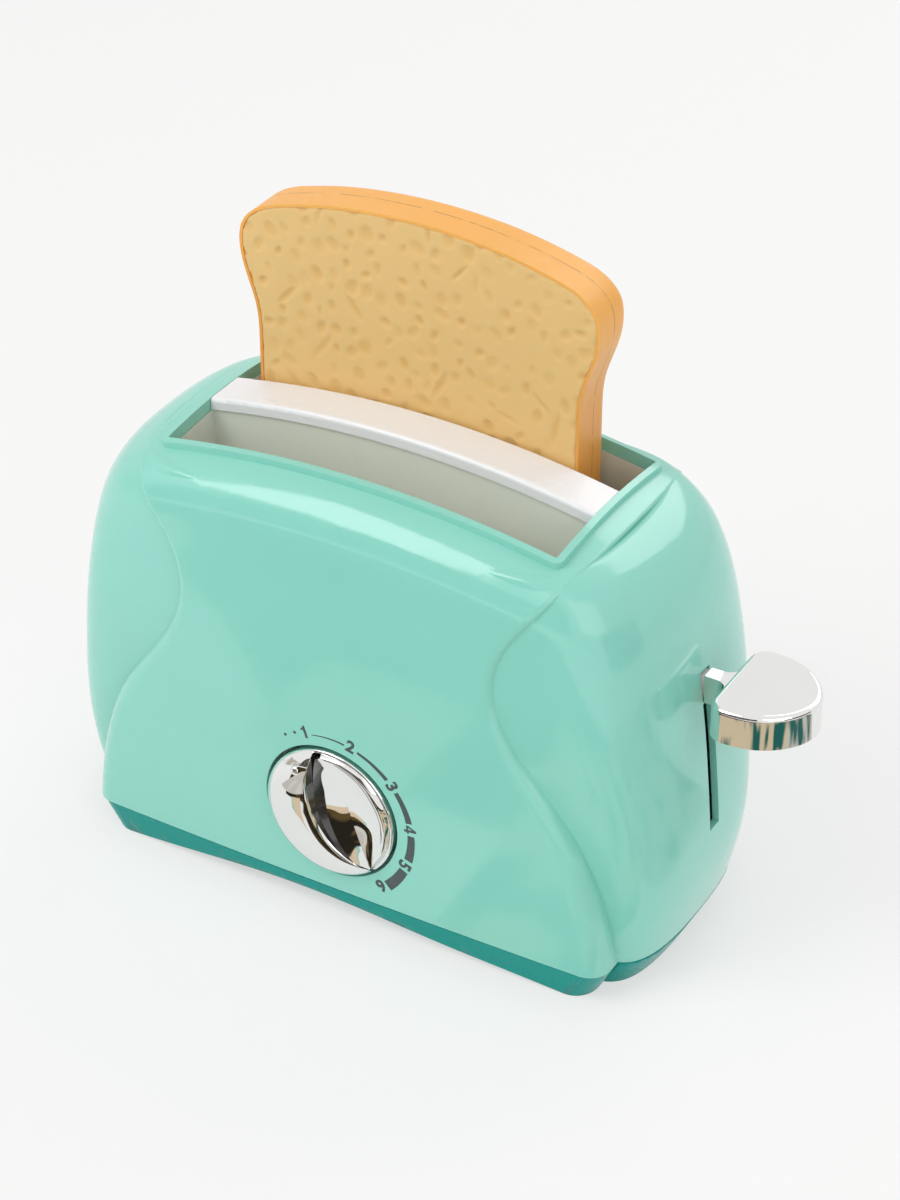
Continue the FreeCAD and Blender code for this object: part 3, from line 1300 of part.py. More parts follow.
def toast_block(inset, y0, y1):
    return Part.Face(toast_wire(inset, y0)).extrude(V(0, y1 - y0, 0))


def crust_front():
    face = TOAST_Y - TOAST_THICKNESS / 2
    body = toast_block(0, face, TOAST_Y)
    pocket = toast_block(CRUST_FRONT_RIM, face - 1, face + CRUMB)
    return body.cut(pocket).cut(toast_block(CRUST_FRONT_RIM + CRUST_LEDGE, face, TOAST_Y + 1))


def crust_rear():
    face = TOAST_Y + TOAST_THICKNESS / 2
    start = face - CRUST_REAR_ROUND
    wires = []
    for step in range(6):
        turn = pi / 2 * step / 5
        wires.append(toast_wire(CRUST_REAR_ROUND * (1 - cos(turn)), start + CRUST_REAR_ROUND * sin(turn)))
    body = toast_block(0, TOAST_Y, start).fuse(Part.makeLoft(wires, True, True))
    ledge_y = face - CRUMB - 2.5
    body = body.cut(toast_block(CRUST_REAR_RIM, face - CRUMB, face + 1))
    body = body.cut(toast_block(CRUST_REAR_RIM + CRUST_LEDGE, ledge_y - 1, face))
    return body.cut(toast_block(CRUST_WALL, TOAST_Y - 1, ledge_y))


def crumb_front():
    face = TOAST_Y - TOAST_THICKNESS / 2
    return toast_block(CRUST_FRONT_RIM + CRUMB_PLAY, face, face + CRUMB - TOUCH)


def crumb_rear():
    face = TOAST_Y + TOAST_THICKNESS / 2
    return toast_block(CRUST_REAR_RIM + CRUMB_PLAY, face - CRUMB + TOUCH, face)


def main():
    os.makedirs("parts", exist_ok=True)
    outer = outer_half()
    skin = shell_half(outer, cavity_half())
    save("front_shell", front_shell(skin))
    save("rear_shell", rear_shell(skin))
    save("base_pan", base_pan())
    save("front_tray", tray(-1))
    save("rear_tray", tray(1))
    save("timer_front_plate", timer_plate(PLATE_FRONT_Y))
    makers = [
        slot_liner,
        divider_bar,
        shell_screws,
        base_screws,
        guide_rods,
        rod_bracket,
        bracket_screws,
        stop_bumpers,
        return_springs,
        carriage,
        lever_arm,
        lever_paddle,
        paddle_screw,
        timer_back_plate,
        timer_pillars,
        timer_screws,
        mainspring,
        timer_knob,
        knob_shaft,
        main_wheel,
        release_cam,
        second_wheel,
        escape_wheel,
        pallet,
        latch_lever,
        latch_pin,
        latch_spring,
        crust_front,
        crust_rear,
        crumb_front,
        crumb_rear,
    ]
    for make in makers:
        save(make.__name__, make())


main()
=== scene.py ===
"""Dresses the toy toaster: finishes for its moulded, plated and printed pieces, the printed timer scale,
a creased knob, an arched base, a dimpled slice of bread, and the studio that the toaster stands in."""

import logging
import math
from dataclasses import dataclass
from enum import Enum
from typing import Any, Callable, Sequence

import bmesh
import bpy
import numpy as np
from mathutils import Matrix, Vector
from mathutils.bvhtree import BVHTree

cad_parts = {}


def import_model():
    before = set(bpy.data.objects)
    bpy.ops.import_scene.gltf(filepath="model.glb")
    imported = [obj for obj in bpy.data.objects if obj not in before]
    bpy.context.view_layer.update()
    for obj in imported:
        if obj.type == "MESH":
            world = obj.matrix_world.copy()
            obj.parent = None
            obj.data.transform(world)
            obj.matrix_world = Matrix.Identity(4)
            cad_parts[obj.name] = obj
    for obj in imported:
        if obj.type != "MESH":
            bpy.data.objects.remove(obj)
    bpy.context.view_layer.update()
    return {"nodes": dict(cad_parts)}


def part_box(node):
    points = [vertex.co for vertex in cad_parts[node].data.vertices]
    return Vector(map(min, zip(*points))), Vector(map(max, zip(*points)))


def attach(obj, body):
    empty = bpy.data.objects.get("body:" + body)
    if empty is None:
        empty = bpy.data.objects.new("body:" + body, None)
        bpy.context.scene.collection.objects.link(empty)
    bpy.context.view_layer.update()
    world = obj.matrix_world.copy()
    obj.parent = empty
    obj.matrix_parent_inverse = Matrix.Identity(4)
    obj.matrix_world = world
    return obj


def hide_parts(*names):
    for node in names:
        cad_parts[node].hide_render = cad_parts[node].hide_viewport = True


log = logging.getLogger("toy_toaster")

BMesh = bmesh.types.BMesh
Material = bpy.types.Material
Mesh = bpy.types.Mesh
Object = bpy.types.Object
Socket = bpy.types.NodeSocket
Colour = tuple[float, float, float]
Place = tuple[float, float, float]
Pair = tuple[float, float]
Swell = Callable[[float], float]
Pit = tuple[float, float, float, float, float, float]

MM = 0.001
MERGE = 1e-6
PIT_DEPTH = "pit_depth"


class Body(str, Enum):
    """The moving groups of the toaster that a new piece may ride on."""

    HOUSING = "housing"
    DIAL = "dial"
    TOAST = "toast"


class Slot(str, Enum):
    """The material slots of the part's record."""

    SHELL = "shell_mint"
    BASE = "base_teal"
    LINER = "liner_grey"
    BAR = "bar_white"
    PLATED = "plated"
    STEEL = "steel"
    SPRING = "spring_steel"
    BRASS = "wheel_brass"
    WORKS = "mechanism_plastic"
    RUBBER = "bumper_rubber"
    CRUST = "crust_orange"
    CRUMB = "crumb_tan"


class Grain(Enum):
    """How the surface detail of a material runs: its pattern's stretch along X, Y and Z."""

    EVEN = (1.0, 1.0, 1.0)
    UPRIGHT = (1.0, 1.0, 0.12)
    LENGTHWISE = (0.12, 1.0, 1.0)
    DRAGGED = (1.0, 1.0, 0.15)
    SAME_ALONG_Y = (1.0, 0.0, 1.0)


@dataclass(frozen=True)
class Pattern:
    """A noise pattern: its waves to the metre and its octaves."""

    waves: float
    octaves: float = 2.0


# Node trees


class Graph:
    """Adds nodes to one tree and wires them."""

    def __init__(self, tree: bpy.types.NodeTree) -> None:
        """Starts on a tree and clears it.

        Args:
            tree: The shader, world or geometry tree that gets the nodes.
        """
        self.tree = tree
        tree.nodes.clear()

    def add(self, kind: str, inputs: dict[str | int, Any] | None = None, **settings: Any) -> bpy.types.Node:
        """Adds one node.

        Args:
            kind: The node's Blender type.
            inputs: A value or a source socket for each input, by name or index.
            **settings: Properties of the node itself.

        Returns:
            The new node.
        """
        node = self.tree.nodes.new(kind)
        for name, value in settings.items():
            setattr(node, name, value)
        for key, value in (inputs or {}).items():
            if isinstance(value, Socket):
                self.tree.links.new(value, node.inputs[key])
            else:
                node.inputs[key].default_value = value
        return node

    def maths(self, operation: str, *values: float | Socket) -> Socket:
        """Returns the result of a Math node on one to three values."""
        return self.add("ShaderNodeMath", dict(enumerate(values)), operation=operation).outputs[0]

    def axis(self, vector: Socket, name: str) -> Socket:
        """Returns one of a vector's X, Y and Z."""
        return self.add("ShaderNodeSeparateXYZ", {0: vector}).outputs[name]

    def seen_by(self, *kinds: str) -> Socket:
        """Returns 1 on the kinds of ray that are named, such as Camera or Glossy, and 0 on the others."""
        rays = self.add("ShaderNodeLightPath").outputs
        found = rays[f"Is {kinds[0]} Ray"]
        for kind in kinds[1:]:
            found = self.maths("MAXIMUM", found, rays[f"Is {kind} Ray"])
        return found

    def mixed(self, factor: Socket, first: bpy.types.Node, second: bpy.types.Node) -> Socket:
        """Returns two shaders mixed by a factor."""
        inputs = {0: factor, 1: first.outputs[0], 2: second.outputs[0]}
        return self.add("ShaderNodeMixShader", inputs).outputs[0]


class ShaderGraph(Graph):
    """The shader tree of one new material."""

    def __init__(self, name: str) -> None:
        """Makes the material.

        Args:
            name: The material's name.
        """
        self.material = bpy.data.materials.new(name)
        self.material.use_nodes = True
        super().__init__(self.material.node_tree)
        self.place = self.add("ShaderNodeTexCoord").outputs["Object"]

    def stretched(self, grain: Grain) -> Socket:
        """Returns Object coordinates scaled along X, Y and Z."""
        return self.add("ShaderNodeMapping", {"Vector": self.place, "Scale": grain.value}).outputs[0]

    def noise(self, pattern: Pattern, where: Socket | None = None) -> Socket:
        """Returns the value of a noise pattern on Object coordinates, or on others."""
        inputs = {"Vector": where or self.place, "Scale": pattern.waves, "Detail": pattern.octaves}
        return self.add("ShaderNodeTexNoise", inputs).outputs["Fac"]

    def span(self, value: Socket, low: float, high: float, start: float = 0.0, end: float = 1.0) -> Socket:
        """Returns the value mapped from start..end to low..high, clamped."""
        inputs = {"Value": value, "From Min": start, "From Max": end, "To Min": low, "To Max": high}
        return self.add("ShaderNodeMapRange", inputs).outputs[0]

    def blend(self, factor: float | Socket, first: Any, second: Any) -> Socket:
        """Returns two colours mixed by a factor."""
        ends = [value if isinstance(value, Socket) else (*value, 1.0) for value in (first, second)]
        return self.add("ShaderNodeMix", {0: factor, 6: ends[0], 7: ends[1]}, data_type="RGBA").outputs[2]

    def bump(
        self, height: Socket, distance: float, strength: float = 1.0, over: Socket | None = None
    ) -> Socket:
        """Returns a normal raised by a height, on top of another normal if there is one."""
        inputs = {"Height": height, "Distance": distance, "Strength": strength}
        if over is not None:
            inputs["Normal"] = over
        return self.add("ShaderNodeBump", inputs).outputs[0]

    def ended(self, shader: Socket) -> Material:
        """Ends the tree in a shader and returns the finished material."""
        self.add("ShaderNodeOutputMaterial", {"Surface": shader})
        return self.material

    def surface(self, **inputs: Any) -> Material:
        """Ends the tree in a Principled BSDF.

        Args:
            **inputs: Its inputs by name, with underscores for the spaces.

        Returns:
            The finished material.
        """
        values = {name.replace("_", " "): value for name, value in inputs.items()}
        return self.ended(self.add("ShaderNodeBsdfPrincipled", values).outputs[0])


# Finishes


def shade(colour: Colour, factor: float) -> Colour:
    """Returns a colour made lighter or darker by a factor, kept within 0 to 1."""
    return tuple(min(1.0, channel * factor) for channel in colour)


@dataclass(frozen=True)
class Finish:
    """What a piece's surface is made of."""

    name: str

    def material(self) -> Material:
        """Returns the finish as a new material."""
        raise NotImplementedError


@dataclass(frozen=True)
class MouldedPlastic(Finish):
    """Injection-moulded plastic with faint flow marks, rare specks, rubbed patches and fine orange peel."""

    colour: Colour
    roughness: float = 0.2
    coat: float = 0.0
    flow: float = 0.05
    peel: float = 0.00001
    grain: Grain = Grain.EVEN
    shine: float = 0.5
    coat_roughness: float = 0.04
    speck_share: float = 0.16
    speck_shade: float = 0.72
    flow_marks: Pattern = Pattern(22.0, 3.0)
    specks: Pattern = Pattern(2600.0, 1.0)
    rub: Pattern = Pattern(90.0, 4.0)
    orange_peel: Pattern = Pattern(420.0)

    def material(self) -> Material:
        """Returns the finish as a new material."""
        graph = ShaderGraph(self.name)
        where = graph.stretched(self.grain)
        darker, lighter = (shade(self.colour, factor) for factor in (1 - self.flow, 1 + self.flow))
        colour = graph.blend(graph.noise(self.flow_marks, where), darker, lighter)
        specks = graph.span(graph.noise(self.specks, where), 0.0, self.speck_share, 0.66, 0.8)
        colour = graph.blend(specks, colour, shade(self.colour, self.speck_shade))
        rub = graph.noise(self.rub, where)
        return graph.surface(
            Base_Color=colour,
            Roughness=graph.span(rub, self.roughness * 0.78, self.roughness * 1.3, 0.3, 0.7),
            Normal=graph.bump(graph.noise(self.orange_peel, where), self.peel, 0.6),
            Coat_Weight=self.coat,
            Coat_Roughness=self.coat_roughness,
            Specular_IOR_Level=self.shine,
        )


@dataclass(frozen=True)
class PlatedChrome(Finish):
    """Vacuum-plated plastic: mirror bright, faintly wavy, with dull rubbed patches."""

    colour: Colour = (0.86, 0.86, 0.85)
    roughness: float = 0.035
    haze: Pattern = Pattern(60.0, 4.0)
    waviness: Pattern = Pattern(110.0, 1.0)
    wave_height: float = 0.00006

    def material(self) -> Material:
        """Returns the finish as a new material."""
        graph = ShaderGraph(self.name)
        haze = graph.noise(self.haze)
        return graph.surface(
            Base_Color=graph.blend(haze, shade(self.colour, 0.94), self.colour),
            Metallic=1.0,
            Roughness=graph.span(haze, self.roughness * 0.6, self.roughness * 1.8, 0.35, 0.75),
            Normal=graph.bump(graph.noise(self.waviness), self.wave_height, 0.35),
        )


@dataclass(frozen=True)
class WorkedMetal(Finish):
    """Drawn, stamped or blanked metal with fine lines along its grain and slight tarnish."""

    colour: Colour
    tarnish: Colour
    roughness: float = 0.32
    grain: Grain = Grain.UPRIGHT
    lines: Pattern = Pattern(1800.0, 3.0)
    line_height: float = 0.00002
    stains: Pattern = Pattern(70.0, 4.0)

    def material(self) -> Material:
        """Returns the finish as a new material."""
        graph = ShaderGraph(self.name)
        lines = graph.noise(self.lines, graph.stretched(self.grain))
        stain = graph.span(graph.noise(self.stains), 0.0, 0.6, 0.45, 0.8)
        return graph.surface(
            Base_Color=graph.blend(stain, self.colour, self.tarnish),
            Metallic=1.0,
            Roughness=graph.span(lines, self.roughness * 0.7, self.roughness * 1.4, 0.3, 0.7),
            Normal=graph.bump(lines, self.line_height, 0.5),
            Anisotropic=0.4,
        )


@dataclass(frozen=True)
class Rubber(Finish):
    """Matt black rubber with a dusty bloom."""

    colour: Colour = (0.02, 0.02, 0.021)
    dust: Colour = (0.09, 0.09, 0.09)
    bloom: Pattern = Pattern(300.0, 5.0)
    pores: Pattern = Pattern(900.0)
    pore_height: float = 0.00003

    def material(self) -> Material:
        """Returns the finish as a new material."""
        graph = ShaderGraph(self.name)
        bloom = graph.span(graph.noise(self.bloom), 0.0, 0.5, 0.5, 0.8)
        return graph.surface(
            Base_Color=graph.blend(bloom, self.colour, self.dust),
            Roughness=0.75,
            Normal=graph.bump(graph.noise(self.pores), self.pore_height, 0.6),
        )


@dataclass(frozen=True)
class BreadCrumb(Finish):
    """Satin tan plastic of a toy slice's face, deeper and warmer in colour low down, with painted shade in
    its dimples.
    """

    colour: Colour = (0.80, 0.53, 0.21)
    # Painted shade: the darker colour laid into the dimples.
    pit: Colour = (0.76, 0.46, 0.15)
    foot: Colour = (0.80, 0.48, 0.17)
    foot_share: float = 0.75
    foot_z: Pair = (0.120, 0.158)
    tones: Pattern = Pattern(35.0, 4.0)
    gloss: Pattern = Pattern(240.0)
    fine: Pattern = Pattern(1500.0, 3.0)
    broad: Pattern = Pattern(160.0)

    def material(self) -> Material:
        """Returns the finish as a new material."""
        graph = ShaderGraph(self.name)
        depth = graph.add("ShaderNodeAttribute", attribute_name=PIT_DEPTH).outputs["Fac"]
        tone = graph.blend(graph.noise(self.tones), shade(self.colour, 0.955), shade(self.colour, 1.04))
        low = graph.span(graph.axis(graph.place, "Z"), self.foot_share, 0.0, *self.foot_z)
        tone = graph.blend(low, tone, self.foot)
        # Painted shade in the dimples, darker where they are deeper.
        tone = graph.blend(graph.span(depth, 0.0, 0.85, 0.1, 1.0), tone, self.pit)
        normal = graph.bump(graph.noise(self.fine), 0.00002, 0.5)
        return graph.surface(
            Base_Color=tone,
            Roughness=graph.span(graph.noise(self.gloss), 0.36, 0.52),
            Normal=graph.bump(graph.noise(self.broad), 0.00007, 0.4, over=normal),
            IOR=1.46,
            Subsurface_Weight=0.12,
            Subsurface_Radius=(0.006, 0.003, 0.0012),
            Subsurface_Scale=1.0,
        )


@dataclass(frozen=True)
class BreadCrust(Finish):
    """Satin orange plastic of the crust, darker on its sides and low down, partly a deeper orange and partly
    painted shade, with a fine dark line where its halves meet.
    """

    colour: Colour = (0.93, 0.44, 0.095)
    # The darker colour of the sides and lower part: partly a deeper orange, partly painted shade.
    baked: Colour = (0.68, 0.25, 0.035)
    deep_tone_and_shade_share: float = 0.8
    deep_tone_and_shade_z: Pair = (0.125, 0.196)
    seam: Colour = (0.30, 0.10, 0.012)
    seam_y: float = 0.0168
    seam_share: float = 0.85
    seam_edge: Pair = (0.00006, 0.00018)
    tones: Pattern = Pattern(30.0, 5.0)
    gaps: Pattern = Pattern(160.0)
    drag: Pattern = Pattern(500.0, 3.0)

    def material(self) -> Material:
        """Returns the finish as a new material."""
        graph = ShaderGraph(self.name)
        # Painted shade, with a deeper orange: darker low down, and less so on faces that look up.
        low = graph.span(graph.axis(graph.place, "Z"), self.deep_tone_and_shade_share, 0.0, *self.deep_tone_and_shade_z)
        upward = graph.axis(graph.add("ShaderNodeNewGeometry").outputs["Normal"], "Z")
        baked = graph.maths("MULTIPLY", low, graph.span(upward, 1.0, 0.2, 0.0, 0.7))
        tone = graph.blend(graph.noise(self.tones), shade(self.colour, 0.93), shade(self.colour, 1.06))
        tone = graph.blend(baked, tone, self.baked)
        away = graph.maths("ABSOLUTE", graph.maths("SUBTRACT", graph.axis(graph.place, "Y"), self.seam_y))
        gaps = graph.noise(self.gaps, graph.stretched(Grain.SAME_ALONG_Y))
        line = graph.span(away, self.seam_share, 0.0, *self.seam_edge)
        seam = graph.maths("MULTIPLY", line, graph.span(gaps, 0.0, 1.0, 0.38, 0.5))
        drag = graph.noise(self.drag, graph.stretched(Grain.DRAGGED))
        return graph.surface(
            Base_Color=graph.blend(seam, tone, self.seam),
            Roughness=graph.span(drag, 0.30, 0.46, 0.3, 0.7),
            Normal=graph.bump(drag, 0.00002, 0.5),
            IOR=1.46,
            Subsurface_Weight=0.12,
            Subsurface_Radius=(0.008, 0.003, 0.0008),
            Subsurface_Scale=1.0,
        )


@dataclass(frozen=True)
class PrintedInk(Finish):
    """Pad-printed ink: slightly matt, a little thin where the pad lifted."""

    colour: Colour = (0.058, 0.082, 0.085)
    thin_shade: float = 1.7
    thinness: Pattern = Pattern(900.0, 4.0)
    tooth: Pattern = Pattern(2400.0, 1.0)
    tooth_height: float = 0.000008

    def material(self) -> Material:
        """Returns the finish as a new material."""
        graph = ShaderGraph(self.name)
        thin = graph.span(graph.noise(self.thinness), 0.0, 0.35, 0.45, 0.8)
        return graph.surface(
            Base_Color=graph.blend(thin, self.colour, shade(self.colour, self.thin_shade)),
            Roughness=0.38,
            Normal=graph.bump(graph.noise(self.tooth), self.tooth_height, 0.5),
        )


SLOT_FINISH: dict[Slot, Finish] = {
    Slot.SHELL: MouldedPlastic("mint_gloss_plastic", (0.262, 0.668, 0.562), 0.16, 0.35, 0.025, 0.000012),
    Slot.BASE: MouldedPlastic(
        "teal_gloss_plastic", (0.002, 0.30, 0.26), 0.24, 0.05, 0.05, 0.000012, shine=0.2
    ),
    Slot.BAR: MouldedPlastic(
        "white_gloss_plastic", (0.87, 0.88, 0.90), 0.3, 0.1, 0.02, 0.00001, Grain.LENGTHWISE
    ),
    Slot.LINER: MouldedPlastic(
        "grey_satin_plastic", (0.76, 0.79, 0.71), 0.34, 0.0, 0.06, 0.00002, Grain.UPRIGHT
    ),
    Slot.WORKS: MouldedPlastic("natural_matt_plastic", (0.70, 0.70, 0.66), 0.5, 0.0, 0.04, 0.00002),
    Slot.PLATED: PlatedChrome("plated_chrome"),
    Slot.STEEL: WorkedMetal("bright_steel", (0.56, 0.57, 0.58), (0.40, 0.39, 0.37)),
    Slot.SPRING: WorkedMetal("spring_wire", (0.42, 0.43, 0.45), (0.28, 0.27, 0.26), 0.26),
    Slot.BRASS: WorkedMetal("wheel_brass", (0.70, 0.48, 0.17), (0.42, 0.27, 0.10), 0.3),
    Slot.RUBBER: Rubber("black_rubber"),
    Slot.CRUST: BreadCrust("crust_satin_plastic"),
    Slot.CRUMB: BreadCrumb("crumb_satin_plastic"),
}
# Painted shade and painted dark reflection for the walls of the knob's groove.
PAINTED_GROOVE_SHADE = MouldedPlastic("painted_groove_shade", (0.022, 0.017, 0.013), 0.22, 0.2, 0.1, 0.00001)
INK = PrintedInk("scale_ink")


def dress(nodes: dict[str, Object], finishes: dict[Slot, Material]) -> None:
    """Gives each CAD node the finish of its material slot.

    Args:
        nodes: The CAD nodes by name.
        finishes: The material of each slot.
    """
    for name, node in nodes.items():
        for holder in node.material_slots:
            holder.material = finishes[Slot(holder.material.name.split(".")[0])]
        log.info("%s dressed", name)


# Mesh work


def linked(name: str, data: bpy.types.ID | None) -> Object:
    """Links a new object at the origin and returns it."""
    item = bpy.data.objects.new(name, data)
    bpy.context.scene.collection.objects.link(item)
    return item


def new_piece(name: str, mesh: Mesh, material: Material) -> Object:
    """Links a mesh as an object at the origin with one material.

    Args:
        name: The piece's name.
        mesh: Its finished mesh, in the row frame.
        material: Its finish.

    Returns:
        The new object.
    """
    mesh.materials.clear()
    mesh.materials.append(material)
    return linked(name, mesh)


def spent(host: Object) -> Mesh:
    """Returns a plain mesh of an object with its modifiers applied, and removes the object."""
    graph = bpy.context.evaluated_depsgraph_get()
    mesh = bpy.data.meshes.new_from_object(host.evaluated_get(graph), depsgraph=graph)
    bpy.data.objects.remove(host)
    return mesh


def baked(work: BMesh, name: str) -> Mesh:
    """Returns what was worked on as a new mesh, and frees it."""
    mesh = bpy.data.meshes.new(name)
    work.to_mesh(mesh)
    work.free()
    return mesh


def rows_of(collection: bpy.types.bpy_prop_collection, attribute: str) -> np.ndarray:
    """Returns a vector attribute of a mesh's vertices as an array of rows of X, Y and Z."""
    flat = np.empty(len(collection) * 3)
    collection.foreach_get(attribute, flat)
    return flat.reshape(-1, 3)


def shade_smooth(mesh: Mesh, angle: float) -> None:
    """Smooths a mesh and keeps the edges that fold by more than an angle in degrees sharp."""
    mesh.polygons.foreach_set("use_smooth", [True] * len(mesh.polygons))
    mesh.set_sharp_from_angle(angle=math.radians(angle))


def merged_copy(source: Object, name: str, gap: float = 2e-6) -> Mesh:
    """Copies a CAD node's mesh as one surface.

    Args:
        source: The node's object.
        name: The new mesh's name.
        gap: The distance within which vertices are one.

    Returns:
        The merged mesh.
    """
    work = bmesh.new()
    work.from_mesh(source.data)
    bmesh.ops.remove_doubles(work, verts=work.verts, dist=gap)
    bmesh.ops.dissolve_degenerate(work, edges=work.edges, dist=gap)
    bmesh.ops.recalc_face_normals(work, faces=work.faces)
    return baked(work, name)


class GeometryTree(Graph):
    """A Geometry Nodes tree with named inputs, run once on a host object."""

    def __init__(self, name: str, inputs: dict[str, tuple[str, Any]]) -> None:
        """Makes the tree and its interface.

        Args:
            name: The tree's name.
            inputs: Each input's socket type and value, by name.
        """
        tree = bpy.data.node_groups.new(name, "GeometryNodeTree")
        super().__init__(tree)
        for way in ("INPUT", "OUTPUT"):
            tree.interface.new_socket("Geometry", in_out=way, socket_type="NodeSocketGeometry")
        self.values: dict[str, Any] = {}
        for label, (kind, value) in inputs.items():
            socket = tree.interface.new_socket(label, in_out="INPUT", socket_type=f"NodeSocket{kind}")
            self.values[socket.identifier] = value
        self.source = self.add("NodeGroupInput").outputs

    def finish(self, geometry: Socket, material: Material) -> None:
        """Ends the tree in Realize Instances and Set Material.

        Args:
            geometry: The geometry that leaves the tree.
            material: The finish that its faces get.
        """
        real = self.add("GeometryNodeRealizeInstances", {0: geometry})
        dressed = self.add("GeometryNodeSetMaterial", {"Geometry": real.outputs[0], "Material": material})
        self.add("NodeGroupOutput", {0: dressed.outputs[0]})

    def run(self, host: Object) -> Mesh:
        """Runs the tree on a host and removes the host.

        Args:
            host: The object whose mesh goes into the tree.

        Returns:
            The plain mesh that comes out.
        """
        modifier = host.modifiers.new(self.tree.name, "NODES")
        modifier.node_group = self.tree
        for identifier, value in self.values.items():
            modifier[identifier] = value
        return spent(host)


# The timer's printed scale

DRAWN_DIGITS: dict[str, tuple[Sequence[Pair], ...]] = {
    "1": (
        ((0.24, 0), (0.45, 0), (0.45, 1), (0.31, 1), (0.22, 0.86), (0.05, 0.78), (0.05, 0.63), (0.24, 0.7)),
    ),
    "4": (
        (
            (0.36, 0), (0.55, 0), (0.55, 0.22), (0.68, 0.22), (0.68, 0.38), (0.55, 0.38), (0.55, 1),
            (0.37, 1), (0, 0.4), (0, 0.22), (0.36, 0.22),
        ),
        ((0.36, 0.38), (0.36, 0.72), (0.15, 0.38)),
    ),
}


@dataclass
class TimerScale:
    """The numbers, dots and growing band printed round the timer knob, laid onto the shell's bowed front.

    Angles are in degrees clockwise from the top. A run of the band is given by its first and last angle.
    """

    ink: Material
    centre_x: float = -0.4 * MM
    centre_z: float = 38.7 * MM
    radius: float = 27.0 * MM
    band_radius: float = 26.0 * MM
    digit_height: float = 4.1 * MM
    digit_weight: float = 0.036
    capital_share: float = 0.72
    digits: tuple[tuple[str, float], ...] = (
        ("1", -18.9), ("2", 15.3), ("3", 51.0), ("4", 82.8), ("5", 112.3), ("6", 141.5),
    )
    dots: tuple[float, ...] = (-34.3, -26.3)
    dot_radius: float = 0.5 * MM
    runs: Sequence[Pair] = ((-13.6, 10.9), (20.8, 46.0), (56.0, 78.3), (87.6, 107.4), (116.8, 136.6))
    run_columns: int = 28
    run_rows: int = 6
    first_width: float = 0.22 * MM
    last_width: float = 3.5 * MM
    growth: float = 1.15
    film: float = 0.05 * MM
    sink: float = 0.06 * MM
    facet: float = 0.8 * MM
    halvings: int = 3
    ahead: float = -0.2

    def spot(self, angle: float) -> Vector:
        """Returns the place on the scale's circle at an angle, flat in the plane y = 0."""
        turn = math.radians(angle)
        x, z = self.radius * math.sin(turn), self.radius * math.cos(turn)
        return Vector((self.centre_x + x, 0, self.centre_z + z))

    def typed_digit(self, text: str) -> bpy.types.Curve:
        """Returns a number set in the plain built-in face, made bolder."""
        curve = bpy.data.curves.new(f"digit_{text}", "FONT")
        curve.body = text
        curve.size = self.digit_height / self.capital_share
        curve.offset = self.digit_weight * curve.size
        curve.resolution_u = 5
        return curve

    def drawn_digit(self, text: str) -> bpy.types.Curve:
        """Returns a number drawn from outlines, for figures that the built-in face makes too thin."""
        curve = bpy.data.curves.new(f"digit_{text}", "CURVE")
        curve.dimensions = "2D"
        curve.fill_mode = "BOTH"
        for outline in DRAWN_DIGITS[text]:
            spline = curve.splines.new("POLY")
            spline.points.add(len(outline) - 1)
            for point, (x, y) in zip(spline.points, outline):
                point.co = (x * self.digit_height, y * self.digit_height, 0.0, 1.0)
            spline.use_cyclic_u = True
        return curve

    def digit(self, text: str, angle: float) -> Mesh:
        """Makes one flat number.

        Args:
            text: The number.
            angle: Its place on the circle.

        Returns:
            Its mesh, in the plane y = 0.
        """
        curve = self.drawn_digit(text) if text in DRAWN_DIGITS else self.typed_digit(text)
        mesh = spent(linked(f"digit_{text}", curve))
        flat = rows_of(mesh.vertices, "co")
        middle = Vector((flat.min(0) + flat.max(0)) / 2)
        upright = Matrix.Rotation(math.radians(angle), 4, "Y") @ Matrix.Rotation(math.radians(90), 4, "X")
        mesh.transform(Matrix.Translation(self.spot(angle)) @ upright @ Matrix.Translation(-middle))
        return mesh

    def dot(self, angle: float) -> Mesh:
        """Returns one flat round dot in the plane y = 0."""
        work = bmesh.new()
        turn = Matrix.Translation(self.spot(angle)) @ Matrix.Rotation(math.radians(90), 4, "X")
        bmesh.ops.create_circle(work, cap_ends=True, segments=20, radius=self.dot_radius, matrix=turn)
        return baked(work, "dot")

    def width_at(self, angle: float) -> float:
        """Returns the band's width at an angle."""
        share = (angle - self.runs[0][0]) / (self.runs[-1][1] - self.runs[0][0])
        return self.first_width + (self.last_width - self.first_width) * share**self.growth

    def band(self, start: float, end: float) -> Mesh:
        """Makes one run of the band with a node tree that bends a grid into a growing arc.

        Args:
            start: The run's first angle.
            end: Its last angle.

        Returns:
            Its flat mesh, in the plane y = 0.
        """
        tree = GeometryTree(
            "growing_band",
            {
                "Start": ("Float", math.radians(start)),
                "End": ("Float", math.radians(end)),
                "Radius": ("Float", self.band_radius),
                "Start Width": ("Float", self.width_at(start)),
                "End Width": ("Float", self.width_at(end)),
                "Centre": ("Vector", (self.centre_x, 0.0, self.centre_z)),
            },
        )
        given = tree.source
        size = {0: 1.0, 1: 1.0, "Vertices X": self.run_columns, "Vertices Y": self.run_rows}
        grid = tree.add("GeometryNodeMeshGrid", size)
        place = tree.add("GeometryNodeInputPosition").outputs[0]
        along, across = (tree.maths("ADD", tree.axis(place, name), 0.5) for name in "XY")

        def between(low: str, high: str) -> Socket:
            """Returns the mix of two named inputs along the run."""
            grown = tree.maths("SUBTRACT", given[high], given[low])
            return tree.maths("MULTIPLY_ADD", along, grown, given[low])

